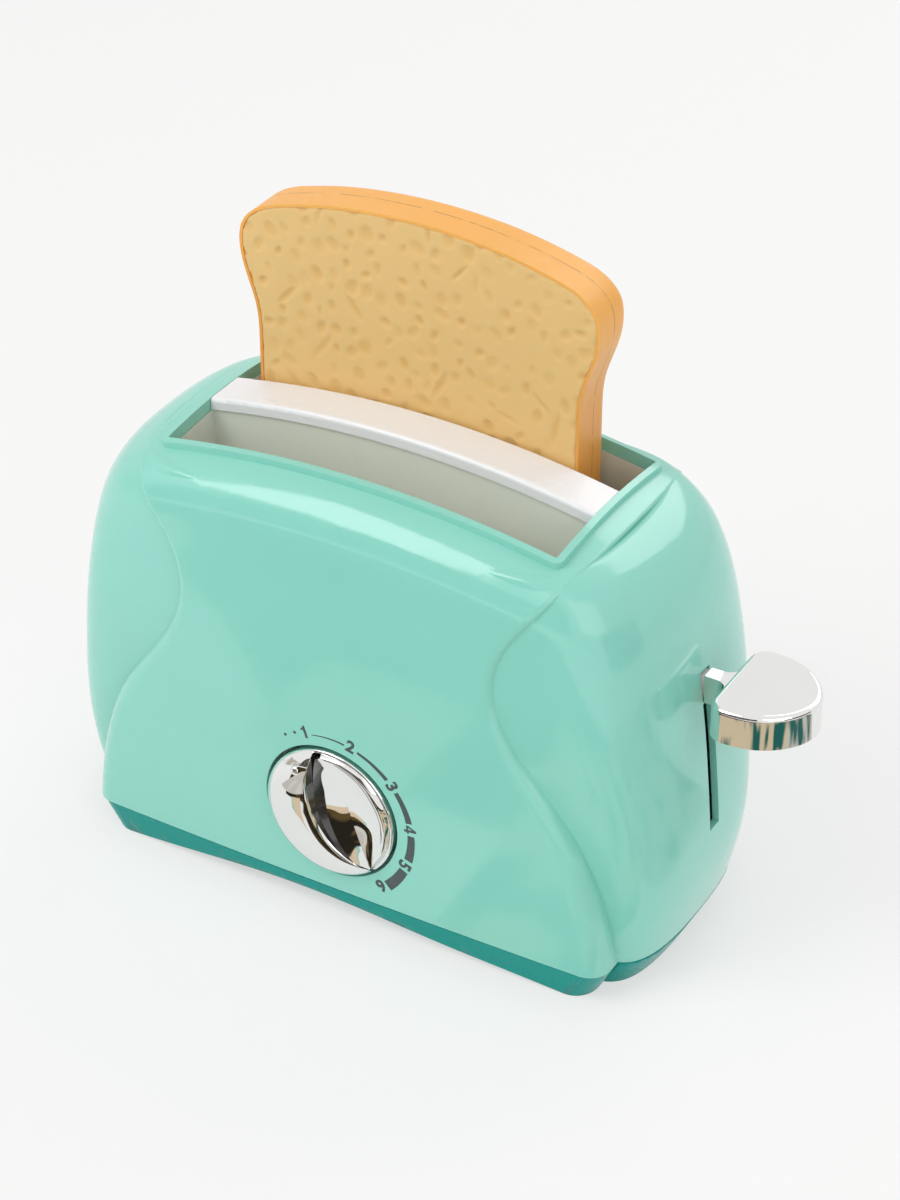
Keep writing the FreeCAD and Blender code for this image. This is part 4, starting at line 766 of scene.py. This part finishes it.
        turn = between("Start", "End")
        reach = tree.maths("MULTIPLY_ADD", across, between("Start Width", "End Width"), given["Radius"])
        x, z = (tree.maths("MULTIPLY", reach, tree.maths(wave, turn)) for wave in ("SINE", "COSINE"))
        arc = tree.add("ShaderNodeCombineXYZ", {"X": x, "Z": z}).outputs[0]
        bent = tree.add("ShaderNodeVectorMath", {0: arc, 1: given["Centre"]}, operation="ADD").outputs[0]
        moved = tree.add("GeometryNodeSetPosition", {"Geometry": grid.outputs["Mesh"], "Position": bent})
        tree.finish(moved.outputs[0], self.ink)
        return tree.run(linked("band_host", bpy.data.meshes.new("band_host")))

    def laid_on(self, flats: Sequence[Mesh], shell: Object) -> Mesh:
        """Lays flat meshes onto the shell's front as a thin film.

        Args:
            flats: Meshes in the plane y = 0.
            shell: The front shell.

        Returns:
            One closed mesh, just proud of the shell.
        """
        work = bmesh.new()
        for flat in flats:
            work.from_mesh(flat)
        bmesh.ops.remove_doubles(work, verts=work.verts, dist=MERGE)
        bmesh.ops.triangulate(work, faces=work.faces)
        for _ in range(self.halvings):
            long_edges = [edge for edge in work.edges if edge.calc_length() > self.facet]
            bmesh.ops.subdivide_edges(work, edges=long_edges, cuts=1)
            bmesh.ops.triangulate(work, faces=[face for face in work.faces if len(face.verts) > 3])
        tree = BVHTree.FromPolygons(
            [vertex.co for vertex in shell.data.vertices],
            [tuple(face.vertices) for face in shell.data.polygons],
        )
        for vertex in work.verts:
            hit = tree.ray_cast(Vector((vertex.co.x, self.ahead, vertex.co.z)), Vector((0, 1, 0)))[0]
            vertex.co.y = hit.y - self.film
        bmesh.ops.recalc_face_normals(work, faces=work.faces)
        for face in work.faces:
            if face.normal.y > 0:
                face.normal_flip()
        back = bmesh.ops.extrude_face_region(work, geom=list(work.faces), use_keep_orig=True)["geom"]
        for item in back:
            if isinstance(item, bmesh.types.BMVert):
                item.co.y += self.film + self.sink
        bmesh.ops.recalc_face_normals(work, faces=work.faces)
        return baked(work, "timer_scale")

    def build(self, shell: Object) -> Object:
        """Makes the whole scale as one piece that rides on the housing.

        Args:
            shell: The front shell that it is printed on.

        Returns:
            The piece.
        """
        flats = [self.digit(text, angle) for text, angle in self.digits]
        flats += [self.dot(angle) for angle in self.dots]
        flats += [self.band(start, end) for start, end in self.runs]
        piece = new_piece("timer_scale", self.laid_on(flats, shell), self.ink)
        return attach(piece, Body.HOUSING.value)


# The timer knob


def arch(height: float) -> Swell:
    """Returns a swell that is nothing at both ends and has its full height halfway."""
    return lambda share: height * math.sin(math.pi * share)


def arc(middle: Pair, reach: Pair, sweep: float, steps: int = 8) -> list[Pair]:
    """Lays points along an upright elliptic arc that starts on its outer side.

    Args:
        middle: The ellipse's middle, as radius and height.
        reach: Its half widths along both.
        sweep: The angle that the arc covers, in radians.
        steps: How many steps it has.

    Returns:
        Its points, as radius and height.
    """
    turns = [sweep * step / steps for step in range(steps + 1)]
    return [(middle[0] + reach[0] * math.cos(t), middle[1] + reach[1] * math.sin(t)) for t in turns]


@dataclass
class TimerKnob:
    """The plated knob: a rimmed disc, a smooth crescent beside a deep groove, and a creased leaf.

    All sizes are in millimetres. A path's rows are places from the knob's middle, from the upper tip to the
    lower one: how far right, how far up, and the distance in front of the row's origin, called height here.
    The pairs of an edge or foot are steps in radius and height.
    """

    chrome: Material
    # The painted shade and painted dark reflection of the groove's walls.
    groove: Material
    centre_x: float = -0.4
    centre_z: float = 38.7
    radius: float = 21.6
    back: float = 40.25
    field_height: float = 43.9
    rim_height: float = 46.9
    rim_roll: float = 0.65
    back_edge: Sequence[Pair] = ((-0.5, 0.0), (-0.1, 0.2), (0.0, 0.6))
    field_edge: Sequence[Pair] = ((-1.5, 0.3), (-1.8, 0.0))
    edge_height: float = 46.4
    buried: float = 43.7
    columns: int = 97
    disc_steps: int = 144
    crescent_edge: Sequence[Place] = (
        (-4.75, 19.9, 48.4), (-5.2, 16.5, 50.2), (-5.65, 12.4, 50.7), (-5.6, 8.1, 50.6), (-4.4, 1.0, 50.1),
        (-1.5, -5.4, 49.5), (3.4, -11.2, 49.0), (9.5, -14.3, 48.5), (14.9, -14.7, 48.2),
    )
    crescent_gap: float = 0.02
    dome_rows: int = 30
    dome: float = 1.9
    dome_lean: float = 0.75
    lip: float = 0.35
    lip_share: float = 0.02
    wall_setback: float = 0.2
    leaf_left: Sequence[Place] = (
        (-3.8, 19.0, 48.0), (-5.2, 13.3, 47.0), (-5.8, 8.0, 46.4), (-5.9, 3.4, 46.0), (-5.5, -0.7, 46.1),
        (-4.0, -4.5, 46.5), (0.4, -10.6, 47.3), (7.0, -13.9, 48.0), (14.8, -14.0, 48.7),
    )
    crease: Sequence[Place] = (
        (-2.8, 19.3, 48.3), (1.4, 12.3, 46.7), (5.2, 3.6, 45.3), (8.0, -3.0, 45.9), (10.9, -7.6, 47.2),
        (14.8, -13.6, 48.8),
    )
    leaf_right: Sequence[Place] = (
        (-1.9, 20.0, 48.3), (4.2, 18.2, 47.6), (10.0, 14.4, 47.0), (14.1, 9.0, 46.6), (16.8, 2.3, 46.5),
        (17.8, -3.2, 47.4), (15.4, -13.0, 48.5),
    )
    leaf_setback: float = 0.1
    facet_rows: int = 8
    facet_hollows: Pair = (-0.12, -0.45)
    roll_foot: Sequence[Pair] = (
        (-2.3, 20.8), (4.8, 20.4), (11.5, 17.9), (16.3, 13.2), (19.2, 7.2), (20.2, 0.6), (19.2, -7.0),
        (15.7, -13.6),
    )
    roll_rows: int = 9
    roll: float = 3.6
    bead_place: Pair = (-9.3, 13.9)
    bead_radius: float = 1.75
    bead_seat: float = 50.0
    bead_foot: Sequence[Pair] = ((0.0, -2.0), (2.1, -2.0), (2.1, -0.6))
    bead_sink: float = 0.3
    bead_rise: float = 1.5
    bead_steps: int = 40
    crisp: float = 38.0

    def place(self, x: float, z: float, height: float) -> Vector:
        """Returns a point given from the knob's middle and its height, in metres."""
        return Vector((self.centre_x + x, -height, self.centre_z + z)) * MM

    def smooth(self, path: Sequence[Place]) -> np.ndarray:
        """Runs a smooth line through a path.

        Args:
            path: Its rows.

        Returns:
            As many rows along it as the knob has columns.
        """
        knots = np.array(path)
        steps = np.concatenate([[0.0], np.cumsum(np.linalg.norm(np.diff(knots[:, :2], axis=0), axis=1))])
        steps /= steps[-1]
        slopes = np.gradient(knots, steps, axis=0)
        share = np.linspace(0.0, 1.0, self.columns)
        index = np.clip(np.searchsorted(steps, share, side="right") - 1, 0, len(steps) - 2)
        span = (steps[index + 1] - steps[index])[:, None]
        t = ((share - steps[index]) / span[:, 0])[:, None]
        low, high = knots[index], knots[index + 1]
        rise = (2 * t**3 - 3 * t**2 + 1) * low + (3 * t**2 - 2 * t**3) * high
        return rise + span * ((t**3 - 2 * t**2 + t) * slopes[index] + (t**3 - t**2) * slopes[index + 1])

    def between(self, first: np.ndarray, last: np.ndarray, count: int, swell: Swell) -> list[np.ndarray]:
        """Fills in rows between two rows.

        Args:
            first: The first row.
            last: The last row.
            count: How many rows lie between them.
            swell: The height added at each share of the way, for each centimetre between the two rows.

        Returns:
            The rows between them.
        """
        rows = []
        centimetres = np.linalg.norm((last - first)[:, :2], axis=1) / 10.0
        for number in range(1, count + 1):
            share = number / (count + 1)
            row = first + (last - first) * share
            row[:, 2] += swell(share) * centimetres
            rows.append(row)
        return rows

    def sunk(self, row: np.ndarray, setback: float = 0.0) -> np.ndarray:
        """Returns a row moved left by a setback and down into the disc."""
        lower = row - np.array([setback, 0.0, 0.0])
        lower[:, 2] = self.buried
        return lower

    def skin(
        self, work: BMesh, rows: Sequence[np.ndarray], sharp: Sequence[int] = (), painted_shade_row: int = -1
    ) -> None:
        """Joins rows of points into one closed tube with pinched ends.

        Args:
            work: The mesh that gets the faces.
            rows: The rows, in order round the tube's section.
            sharp: Rows whose line stays a crisp edge.
            painted_shade_row: The row from which the faces to the next row take the groove's painted shade,
                if any.
        """
        lines = [[work.verts.new(self.place(*point)) for point in row] for row in rows]
        for number, line in enumerate(lines):
            following = lines[(number + 1) % len(lines)]
            for column in range(self.columns - 1):
                corners = (line[column], following[column], following[column + 1], line[column + 1])
                work.faces.new(corners).material_index = int(number == painted_shade_row)
        for end in (0, -1):
            work.faces.new([line[end] for line in lines])
        for number in sharp:
            for first, second in zip(lines[number], lines[number][1:]):
                work.edges.get((first, second)).smooth = False

    def crescent(self, work: BMesh) -> None:
        """Adds the crescent, from the knob's edge up to the lip over the groove."""
        inner = self.smooth(self.crescent_edge)
        start, end = (math.atan2(z, x) for x, z, _ in (self.crescent_edge[0], self.crescent_edge[-1]))
        turns = np.linspace(start, end + 2 * math.pi, self.columns)
        reach = self.radius - self.crescent_gap
        edge = np.full(self.columns, self.edge_height)
        outer = np.stack([reach * np.cos(turns), reach * np.sin(turns), edge], axis=1)
        top = inner + (outer - inner) * self.lip_share * [1.0, 1.0, 0.0]
        lip = inner - np.array([0.0, 0.0, self.lip])
        wall = self.sunk(self.smooth(self.leaf_left), self.wall_setback)

        def swell(share: float) -> float:
            """Returns the dome's height, which is greatest towards the knob's edge."""
            return self.dome * math.sin(math.pi * share**self.dome_lean) ** self.dome_lean

        rows = [self.sunk(outer), outer, *self.between(outer, top, self.dome_rows, swell), top, lip, wall]
        # The wall from the lip down into the groove takes the painted shade.
        self.skin(work, rows, painted_shade_row=len(rows) - 2)

    def leaf(self, work: BMesh) -> None:
        """Adds the leaf: two shallow facets either side of the crease, and the rolled step to the rim."""
        left, ridge, right = (self.smooth(path) for path in (self.leaf_left, self.crease, self.leaf_right))
        foot = self.smooth([(x, z, self.edge_height) for x, z in self.roll_foot])
        hollow_left, hollow_right = (arch(height) for height in self.facet_hollows)
        rows = [self.sunk(left, self.leaf_setback), left]
        rows += self.between(left, ridge, self.facet_rows, hollow_left)
        crease_row = len(rows)
        rows += [ridge, *self.between(ridge, right, self.facet_rows, hollow_right)]
        right_row = len(rows)
        rows += [right, *self.between(right, foot, self.roll_rows, arch(self.roll)), foot, self.sunk(foot)]
        self.skin(work, rows, sharp=(1, crease_row, right_row))

    def lathe(self, work: BMesh, profile: Sequence[Pair], centre: Pair, segments: int) -> None:
        """Turns a profile of radius and height about an axis that faces forward.

        Args:
            work: The mesh that gets the faces.
            profile: Its points, starting and ending on the axis.
            centre: The axis, from the knob's middle.
            segments: How many steps go round.
        """
        rings = []
        for radius, height in profile:
            if radius == 0.0:
                rings.append([work.verts.new(self.place(*centre, height))] * segments)
                continue
            turns = (2 * math.pi * number / segments for number in range(segments))
            spots = ((centre[0] + radius * math.cos(t), centre[1] + radius * math.sin(t)) for t in turns)
            rings.append([work.verts.new(self.place(x, z, height)) for x, z in spots])
        for low, high in zip(rings, rings[1:]):
            for number in range(segments):
                following = (number + 1) % segments
                corners = dict.fromkeys((low[number], low[following], high[following], high[number]))
                work.faces.new(list(corners))

    def disc(self, work: BMesh) -> None:
        """Adds the disc with its rolled rim."""
        r, roll = self.radius, self.rim_roll
        profile = [(0.0, self.back), *((r + out, self.back + up) for out, up in self.back_edge)]
        profile += arc((r - roll, self.rim_height - roll), (roll, roll), math.pi)
        profile += [(r + out, self.field_height + up) for out, up in self.field_edge]
        profile.append((0.0, self.field_height))
        self.lathe(work, profile, (0.0, 0.0), self.disc_steps)

    def bead(self, work: BMesh) -> None:
        """Adds the round bead on the crescent, on a foot that is a little wider."""
        profile = [(radius, self.bead_seat + up) for radius, up in self.bead_foot]
        middle = (0.0, self.bead_seat - self.bead_sink)
        profile += arc(middle, (self.bead_radius, self.bead_rise), math.pi / 2)
        profile[-1] = (0.0, profile[-1][1])
        self.lathe(work, profile, self.bead_place, self.bead_steps)

    def build(self) -> Object:
        """Makes the knob; it replaces the plain one and turns with the dial.

        Returns:
            The piece.
        """
        work = bmesh.new()
        for part in (self.disc, self.crescent, self.leaf, self.bead):
            part(work)
        bmesh.ops.remove_doubles(work, verts=work.verts, dist=1e-7)
        bmesh.ops.recalc_face_normals(work, faces=work.faces)
        for edge in work.edges:
            if edge.smooth and len(edge.link_faces) == 2:
                edge.smooth = edge.calc_face_angle(0.0) < math.radians(self.crisp)
        for face in work.faces:
            face.smooth = True
        mesh = baked(work, "creased_knob")
        finish_of_faces = [face.material_index for face in mesh.polygons]
        piece = new_piece("creased_knob", mesh, self.chrome)
        mesh.materials.append(self.groove)
        mesh.polygons.foreach_set("material_index", finish_of_faces)
        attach(piece, Body.DIAL.value)
        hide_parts("timer_knob")
        return piece


# The base


@dataclass
class BasePan:
    """The base, with its skirt's lower edge drawn up further between the feet, front and back.

    The skirt leans outwards as it rises, so its edge moves out by `lean` for each unit that it is drawn up.
    What lies within `near` of the skirt's outer face and below `top` is drawn up with it, and so is the
    edge's underside across the `wall`, a little less towards the inside.
    """

    finish: Material
    rise: float = 2.5 * MM
    middle: float = -14.0 * MM
    half_length: float = 62.0 * MM
    near: float = 0.5 * MM
    wall: float = 2.5 * MM
    low: float = 4.1 * MM
    top: float = 9.4 * MM
    lean: float = 0.14
    underside: float = 0.4
    inside_less: float = 0.3
    slices: int = 48

    def drawn(self, x: float) -> float:
        """Returns how far the lower edge is drawn up at a place along the skirt."""
        share = min(1.0, abs(x - self.middle) / self.half_length)
        return self.rise * (0.5 + 0.5 * math.cos(math.pi * share))

    def cut_edge(self, work: BMesh, stations: np.ndarray) -> np.ndarray:
        """Cuts the base at each station and finds its lower outer edge there.

        Args:
            work: The base's mesh.
            stations: Places along X.

        Returns:
            Rows of the edge's distance from the plane y = 0 and its height.
        """
        edge = []
        for x in stations:
            parts = [*work.verts, *work.edges, *work.faces]
            cut = bmesh.ops.bisect_plane(work, geom=parts, plane_co=(x, 0, 0), plane_no=(1, 0, 0), dist=MERGE)
            spots = [item.co for item in cut["geom_cut"] if isinstance(item, bmesh.types.BMVert)]
            rim = [spot for spot in spots if spot.z < self.low]
            furthest = max(rim, key=lambda spot: abs(spot.y) - spot.z)
            edge.append((abs(furthest.y), furthest.z))
        return np.array(edge)

    def build(self, node: Object) -> Object:
        """Makes the base; it replaces the plain one.

        Args:
            node: The plain base's object.

        Returns:
            The piece.
        """
        mesh = merged_copy(node, "arched_base")
        work = bmesh.new()
        work.from_mesh(mesh)
        stations = self.middle + self.half_length * np.linspace(-1.0, 1.0, self.slices + 1)
        edge_y, edge_z = self.cut_edge(work, stations).T
        for vert in work.verts:
            foot = float(np.interp(vert.co.x, stations, edge_z))
            skin = float(np.interp(vert.co.x, stations, edge_y)) + self.lean * (vert.co.z - foot)
            inward = max(0.0, skin - abs(vert.co.y))
            if inward < self.near and vert.co.z < self.top:
                up = self.drawn(vert.co.x) * (self.top - vert.co.z) / (self.top - foot)
            elif inward < self.wall and vert.co.z < foot + self.underside * self.near:
                up = self.drawn(vert.co.x) * (1.0 - self.inside_less * inward / self.wall)
            else:
                continue
            vert.co.z += up
            vert.co.y += math.copysign(up * self.lean, vert.co.y)
        work.to_mesh(mesh)
        work.free()
        shade_smooth(mesh, 30.0)
        piece = new_piece("arched_base", mesh, self.finish)
        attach(piece, Body.HOUSING.value)
        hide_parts("base_pan")
        return piece


# The slice of bread


@dataclass
class BreadSlice:
    """The two dimpled faces of the toy slice, which take the place of its plain plates.

    Each plate is grown by `spread` in its own plane, so that it meets the crust.
    """

    finish: Material
    voxel: float = 0.62 * MM
    spread: float = 0.32 * MM
    seed: int = 7
    tries: int = 2600
    spacing: float = 6.6 * MM
    crowded_spacing: float = 0.66
    crowded_share: float = 0.4
    smallest: float = 1.7 * MM
    largest: float = 3.1 * MM
    narrowness: Pair = (0.55, 0.9)
    slant: float = 0.7
    long_share: float = 0.07
    long_stretch: Pair = (2.1, 0.62)
    depth: float = 0.7 * MM
    shallowest: float = 0.45
    skin: float = 1.3 * MM
    bowl: Pair = (2.6, 0.9)
    lip_height: float = 0.12
    lip_place: float = 1.18
    lip_width: float = 0.16
    lip_limit: float = 0.06 * MM

    def pits(self, low: Vector, high: Vector, seed: int) -> list[Pit]:
        """Scatters the dimples.

        Args:
            low: The plate's lowest corner.
            high: Its highest corner.
            seed: The seed of the scatter.

        Returns:
            Each dimple's X, Z, half length, half width, turn and depth.
        """
        random = np.random.default_rng(seed)
        made: list[Pit] = []
        for _ in range(self.tries):
            x = random.uniform(low.x, high.x)
            z = random.uniform(low.z, high.z)
            crowd = self.crowded_spacing if random.random() < self.crowded_share else 1.0
            if any((x - p[0]) ** 2 + (z - p[1]) ** 2 < (self.spacing * crowd) ** 2 for p in made):
                continue
            half = random.uniform(self.smallest, self.largest)
            narrow = half * random.uniform(*self.narrowness)
            turn = random.normal(math.pi / 2, self.slant)
            if random.random() < self.long_share:
                half *= self.long_stretch[0]
                narrow *= self.long_stretch[1]
            made.append((x, z, half, narrow, turn, self.depth * random.uniform(self.shallowest, 1.0)))
        return made

    def depth_at(self, points: np.ndarray, pits: Sequence[Pit]) -> np.ndarray:
        """Works out how deep the face is pressed in.

        Args:
            points: Places on the face.
            pits: The dimples.

        Returns:
            The depth at each place, below zero on the dimples' raised lips.
        """
        depth = np.zeros(len(points))
        for x, z, half, narrow, turn, deep in pits:
            dx = points[:, 0] - x
            dz = points[:, 2] - z
            along = (dx * math.cos(turn) + dz * math.sin(turn)) / half
            across = (dz * math.cos(turn) - dx * math.sin(turn)) / narrow
            away = np.sqrt(along**2 + across**2)
            bowl = np.clip(1.0 - away ** self.bowl[0], 0.0, 1.0) ** self.bowl[1]
            lip = self.lip_height * np.exp(-(((away - self.lip_place) / self.lip_width) ** 2))
            depth = np.where(bowl > 0, np.maximum(depth, deep * bowl), depth)
            depth -= np.where(away > 1.0, deep * lip, 0.0)
        return depth

    def dimpled(self, name: str, node: Object, front: bool, seed: int) -> Mesh:
        """Makes one face plate with its dimples.

        Args:
            name: The mesh's name.
            node: The plain plate's object.
            front: True if its outer face looks along -Y.
            seed: The seed of the scatter.

        Returns:
            The plate's mesh, with the pits' depth kept as an attribute.
        """
        host = linked(name, merged_copy(node, name))
        remesh = host.modifiers.new("remesh", "REMESH")
        remesh.mode = "VOXEL"
        remesh.voxel_size = self.voxel
        mesh = spent(host)
        low, high = (Vector(corner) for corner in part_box(node.name))
        points = rows_of(mesh.vertices, "co")
        points += rows_of(mesh.vertices, "normal") * (self.spread, 0.0, self.spread)
        outer, inward = (low.y, 1.0) if front else (high.y, -1.0)
        near = np.clip(1.0 - np.abs(points[:, 1] - outer) / self.skin, 0.0, 1.0)
        depth = self.depth_at(points, self.pits(low, high, seed))
        points[:, 1] += inward * near * np.clip(depth, -self.lip_limit, None)
        points[:, 1] = np.clip(points[:, 1], low.y, high.y)
        mesh.vertices.foreach_set("co", points.ravel())
        kept = mesh.attributes.new(PIT_DEPTH, "FLOAT", "POINT")
        kept.data.foreach_set("value", (np.clip(depth / self.depth, 0, 1) * near).astype(np.float32))
        mesh.update()
        shade_smooth(mesh, 60.0)
        return mesh

    def build(self, nodes: dict[str, Object]) -> list[Object]:
        """Makes both faces; each replaces its plain plate and rides on the slice.

        Args:
            nodes: The CAD nodes by name.

        Returns:
            The two pieces.
        """
        pieces = []
        for name, front in (("crumb_front", True), ("crumb_rear", False)):
            mesh = self.dimpled(f"dimpled_{name}", nodes[name], front, self.seed + len(pieces))
            piece = new_piece(f"dimpled_{name}", mesh, self.finish)
            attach(piece, Body.TOAST.value)
            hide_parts(name)
            pieces.append(piece)
        return pieces


# Studio


@dataclass(frozen=True)
class SoftBox:
    """One square or oblong lamp."""

    name: str
    place: Place
    target: Place
    size: Pair
    power: float


@dataclass(frozen=True)
class Card:
    """One card beside the set, dark or coloured, that only glossy surfaces see.

    It reaches from its middle by `across` and by `upward`, both ways. It glows in its tone, with patches of
    another, `patch` to the metre.
    """

    name: str
    middle: Place
    across: Place
    upward: Place
    tone: Colour
    mottle: Colour
    patch: float = 9.0


@dataclass
class Studio:
    """The floor, the pale surroundings, the lamps, the cards and the camera.

    To the eye and in reflections, `evening` of the floor is its own even tone. The rest shows the light and
    the shadow on it. The camera's distance, aim height and shift are in millimetres, before its `scale`.
    """

    white: Colour = (0.945, 0.94, 0.935)
    evening: float = 0.6
    ambient: float = 0.62
    floor_reach: float = 6.0
    paper: Pattern = Pattern(60.0, 5.0)
    focal_pixels: float = 3188.116
    image_height: float = 1200.0
    sensor: float = 36.0
    azimuth: float = 0.530
    elevation: float = 0.585
    shift: Pair = (13.219, -50.722)
    distance: float = 1072.277
    scale: float = 0.85
    aim_height: float = 163.0
    lamps: tuple[SoftBox, ...] = (
        SoftBox("key", (-0.55, -0.75, 1.15), (0.0, 0.0, 0.1), (0.8, 0.8), 7.5),
        SoftBox("fill", (1.1, -0.7, 0.8), (0.0, 0.0, 0.08), (0.9, 0.9), 3.0),
        SoftBox("back", (0.2, 1.0, 0.9), (0.0, 0.0, 0.1), (0.9, 0.6), 3.5),
    )
    cards: tuple[Card, ...] = (
        Card("low_card", (-0.155, -0.383, 0.002), (0.2, 0.0, 0.0), (0.3, 0.28, 0.0),
             (0.022, 0.018, 0.013), (0.15, 0.10, 0.035), 48.0),
        Card("bench_card", (0.19, -0.1125, 0.004), (0.16, 0.0, 0.0), (0.0, 0.0625, 0.0),
             (0.66, 0.55, 0.38), (0.02, 0.13, 0.11), 34.0),
        Card("end_card", (0.26, 0.01, 0.004), (0.12, 0.0, 0.0), (0.0, 0.06, 0.0),
             (0.58, 0.56, 0.50), (0.03, 0.14, 0.12), 34.0),
        Card("warm_card", (-0.024, -0.099, 0.003), (0.010, 0.0, 0.0), (0.003, 0.004, 0.0),
             (0.76, 0.60, 0.43), (0.30, 0.64, 0.53), 70.0),
        Card("beige_card", (-0.030, -0.112, 0.020), (0.030, 0.0, 0.0), (0.0, 0.028, 0.0),
             (0.60, 0.57, 0.52), (0.70, 0.67, 0.61), 60.0),
        Card("front_card", (-0.4, -1.4, 0.52), (1.1, 0.0, 0.0), (0.0, 0.0, 0.47),
             (0.05, 0.045, 0.04), (0.3, 0.27, 0.24)),
        Card("side_card", (1.2, -0.1, 0.2), (0.0, 0.5, 0.0), (0.0, 0.0, 0.2),
             (0.06, 0.05, 0.045), (0.36, 0.3, 0.27)),
        Card("left_card", (-1.1, -0.6, 0.12), (0.0, 0.4, 0.0), (0.0, 0.0, 0.14),
             (0.50, 0.46, 0.41), (0.94, 0.92, 0.90)),
    )

    def camera(self) -> None:
        """Makes the camera."""
        ca, sa = math.cos(self.azimuth), math.sin(self.azimuth)
        ce, se = math.cos(self.elevation), math.sin(self.elevation)
        right = Vector((ca, sa, 0))
        back = Vector((sa * ce, -ca * ce, se))
        up = back.cross(right)
        eye = right * self.shift[0] + up * self.shift[1] + back * self.distance
        data = bpy.data.cameras.new("camera")
        data.sensor_width = self.sensor
        data.lens = self.focal_pixels * self.sensor / self.image_height
        camera = linked("camera", data)
        turn = Matrix((right, up, back)).transposed().to_4x4()
        eye_place = self.scale * MM * (eye + Vector((0, 0, self.aim_height)))
        camera.matrix_world = Matrix.Translation(eye_place) @ turn
        bpy.context.scene.camera = camera

    def floor(self) -> None:
        """Makes the wide pale floor."""
        work = bmesh.new()
        bmesh.ops.create_grid(work, x_segments=8, y_segments=8, size=self.floor_reach)
        graph = ShaderGraph("pale_paper")
        tone = graph.blend(graph.noise(self.paper), shade(self.white, 0.992), self.white)
        paper = graph.add("ShaderNodeBsdfDiffuse", {"Color": tone})
        glow = graph.add("ShaderNodeEmission", {"Color": tone, "Strength": 1.0})
        evened = graph.maths("MULTIPLY", graph.seen_by("Camera", "Glossy"), self.evening)
        finish = graph.ended(graph.mixed(evened, paper, glow))
        new_piece("floor", baked(work, "floor"), finish)

    def surroundings(self) -> None:
        """Makes the world: pale to the eye and in reflections, softer as light."""
        world = bpy.data.worlds.new("surroundings")
        world.use_nodes = True
        graph = Graph(world.node_tree)
        soft = graph.add("ShaderNodeBackground", {"Color": (1.0, 1.0, 1.0, 1.0), "Strength": self.ambient})
        pale = graph.add("ShaderNodeBackground", {"Color": (*self.white, 1.0), "Strength": 1.0})
        mixed = graph.mixed(graph.seen_by("Camera", "Transmission", "Glossy"), soft, pale)
        graph.add("ShaderNodeOutputWorld", {"Surface": mixed})
        bpy.context.scene.world = world

    def lamp(self, box: SoftBox) -> None:
        """Makes one lamp that faces its target."""
        data = bpy.data.lights.new(box.name, "AREA")
        data.shape = "RECTANGLE"
        data.size, data.size_y = box.size
        data.energy = box.power
        lamp = linked(box.name, data)
        lamp.location = box.place
        aim = Vector(box.target) - Vector(box.place)
        lamp.rotation_euler = aim.to_track_quat("-Z", "Y").to_euler()

    def card(self, card: Card) -> None:
        """Makes one card that no camera, shadow or diffuse ray meets."""
        middle, across, upward = Vector(card.middle), Vector(card.across), Vector(card.upward)
        corners = [middle + across * i + upward * j for i, j in ((-1, -1), (1, -1), (1, 1), (-1, 1))]
        mesh = bpy.data.meshes.new(card.name)
        mesh.from_pydata(corners, [], [(0, 1, 2, 3)])
        graph = ShaderGraph(card.name)
        patches = graph.span(graph.noise(Pattern(card.patch, 1.0)), 0.0, 1.0, 0.5, 0.62)
        tone = graph.blend(patches, card.tone, card.mottle)
        glow = graph.add("ShaderNodeEmission", {"Color": tone, "Strength": 1.0})
        board = new_piece(card.name, mesh, graph.ended(glow.outputs[0]))
        for ray in ("camera", "diffuse", "transmission", "volume_scatter", "shadow"):
            setattr(board, f"visible_{ray}", False)

    def build(self) -> None:
        """Makes the whole studio."""
        self.camera()
        self.floor()
        self.surroundings()
        for card in self.cards:
            self.card(card)
        for box in self.lamps:
            self.lamp(box)
        bpy.context.scene.view_settings.view_transform = "Standard"


def main() -> None:
    """Builds every piece in order."""
    logging.basicConfig(level=logging.INFO, format="%(name)s: %(message)s")
    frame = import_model()
    Studio().build()
    nodes = frame["nodes"]
    finishes = {slot: finish.material() for slot, finish in SLOT_FINISH.items()}
    dress(nodes, finishes)
    pieces = [
        TimerScale(INK.material()).build(nodes["front_shell"]),
        TimerKnob(finishes[Slot.PLATED], PAINTED_GROOVE_SHADE.material()).build(),
        BasePan(finishes[Slot.BASE]).build(nodes["base_pan"]),
        *BreadSlice(finishes[Slot.CRUMB]).build(nodes),
    ]
    for piece in pieces:
        log.info("%s made", piece.name)


if __name__ == "__main__":
    main()
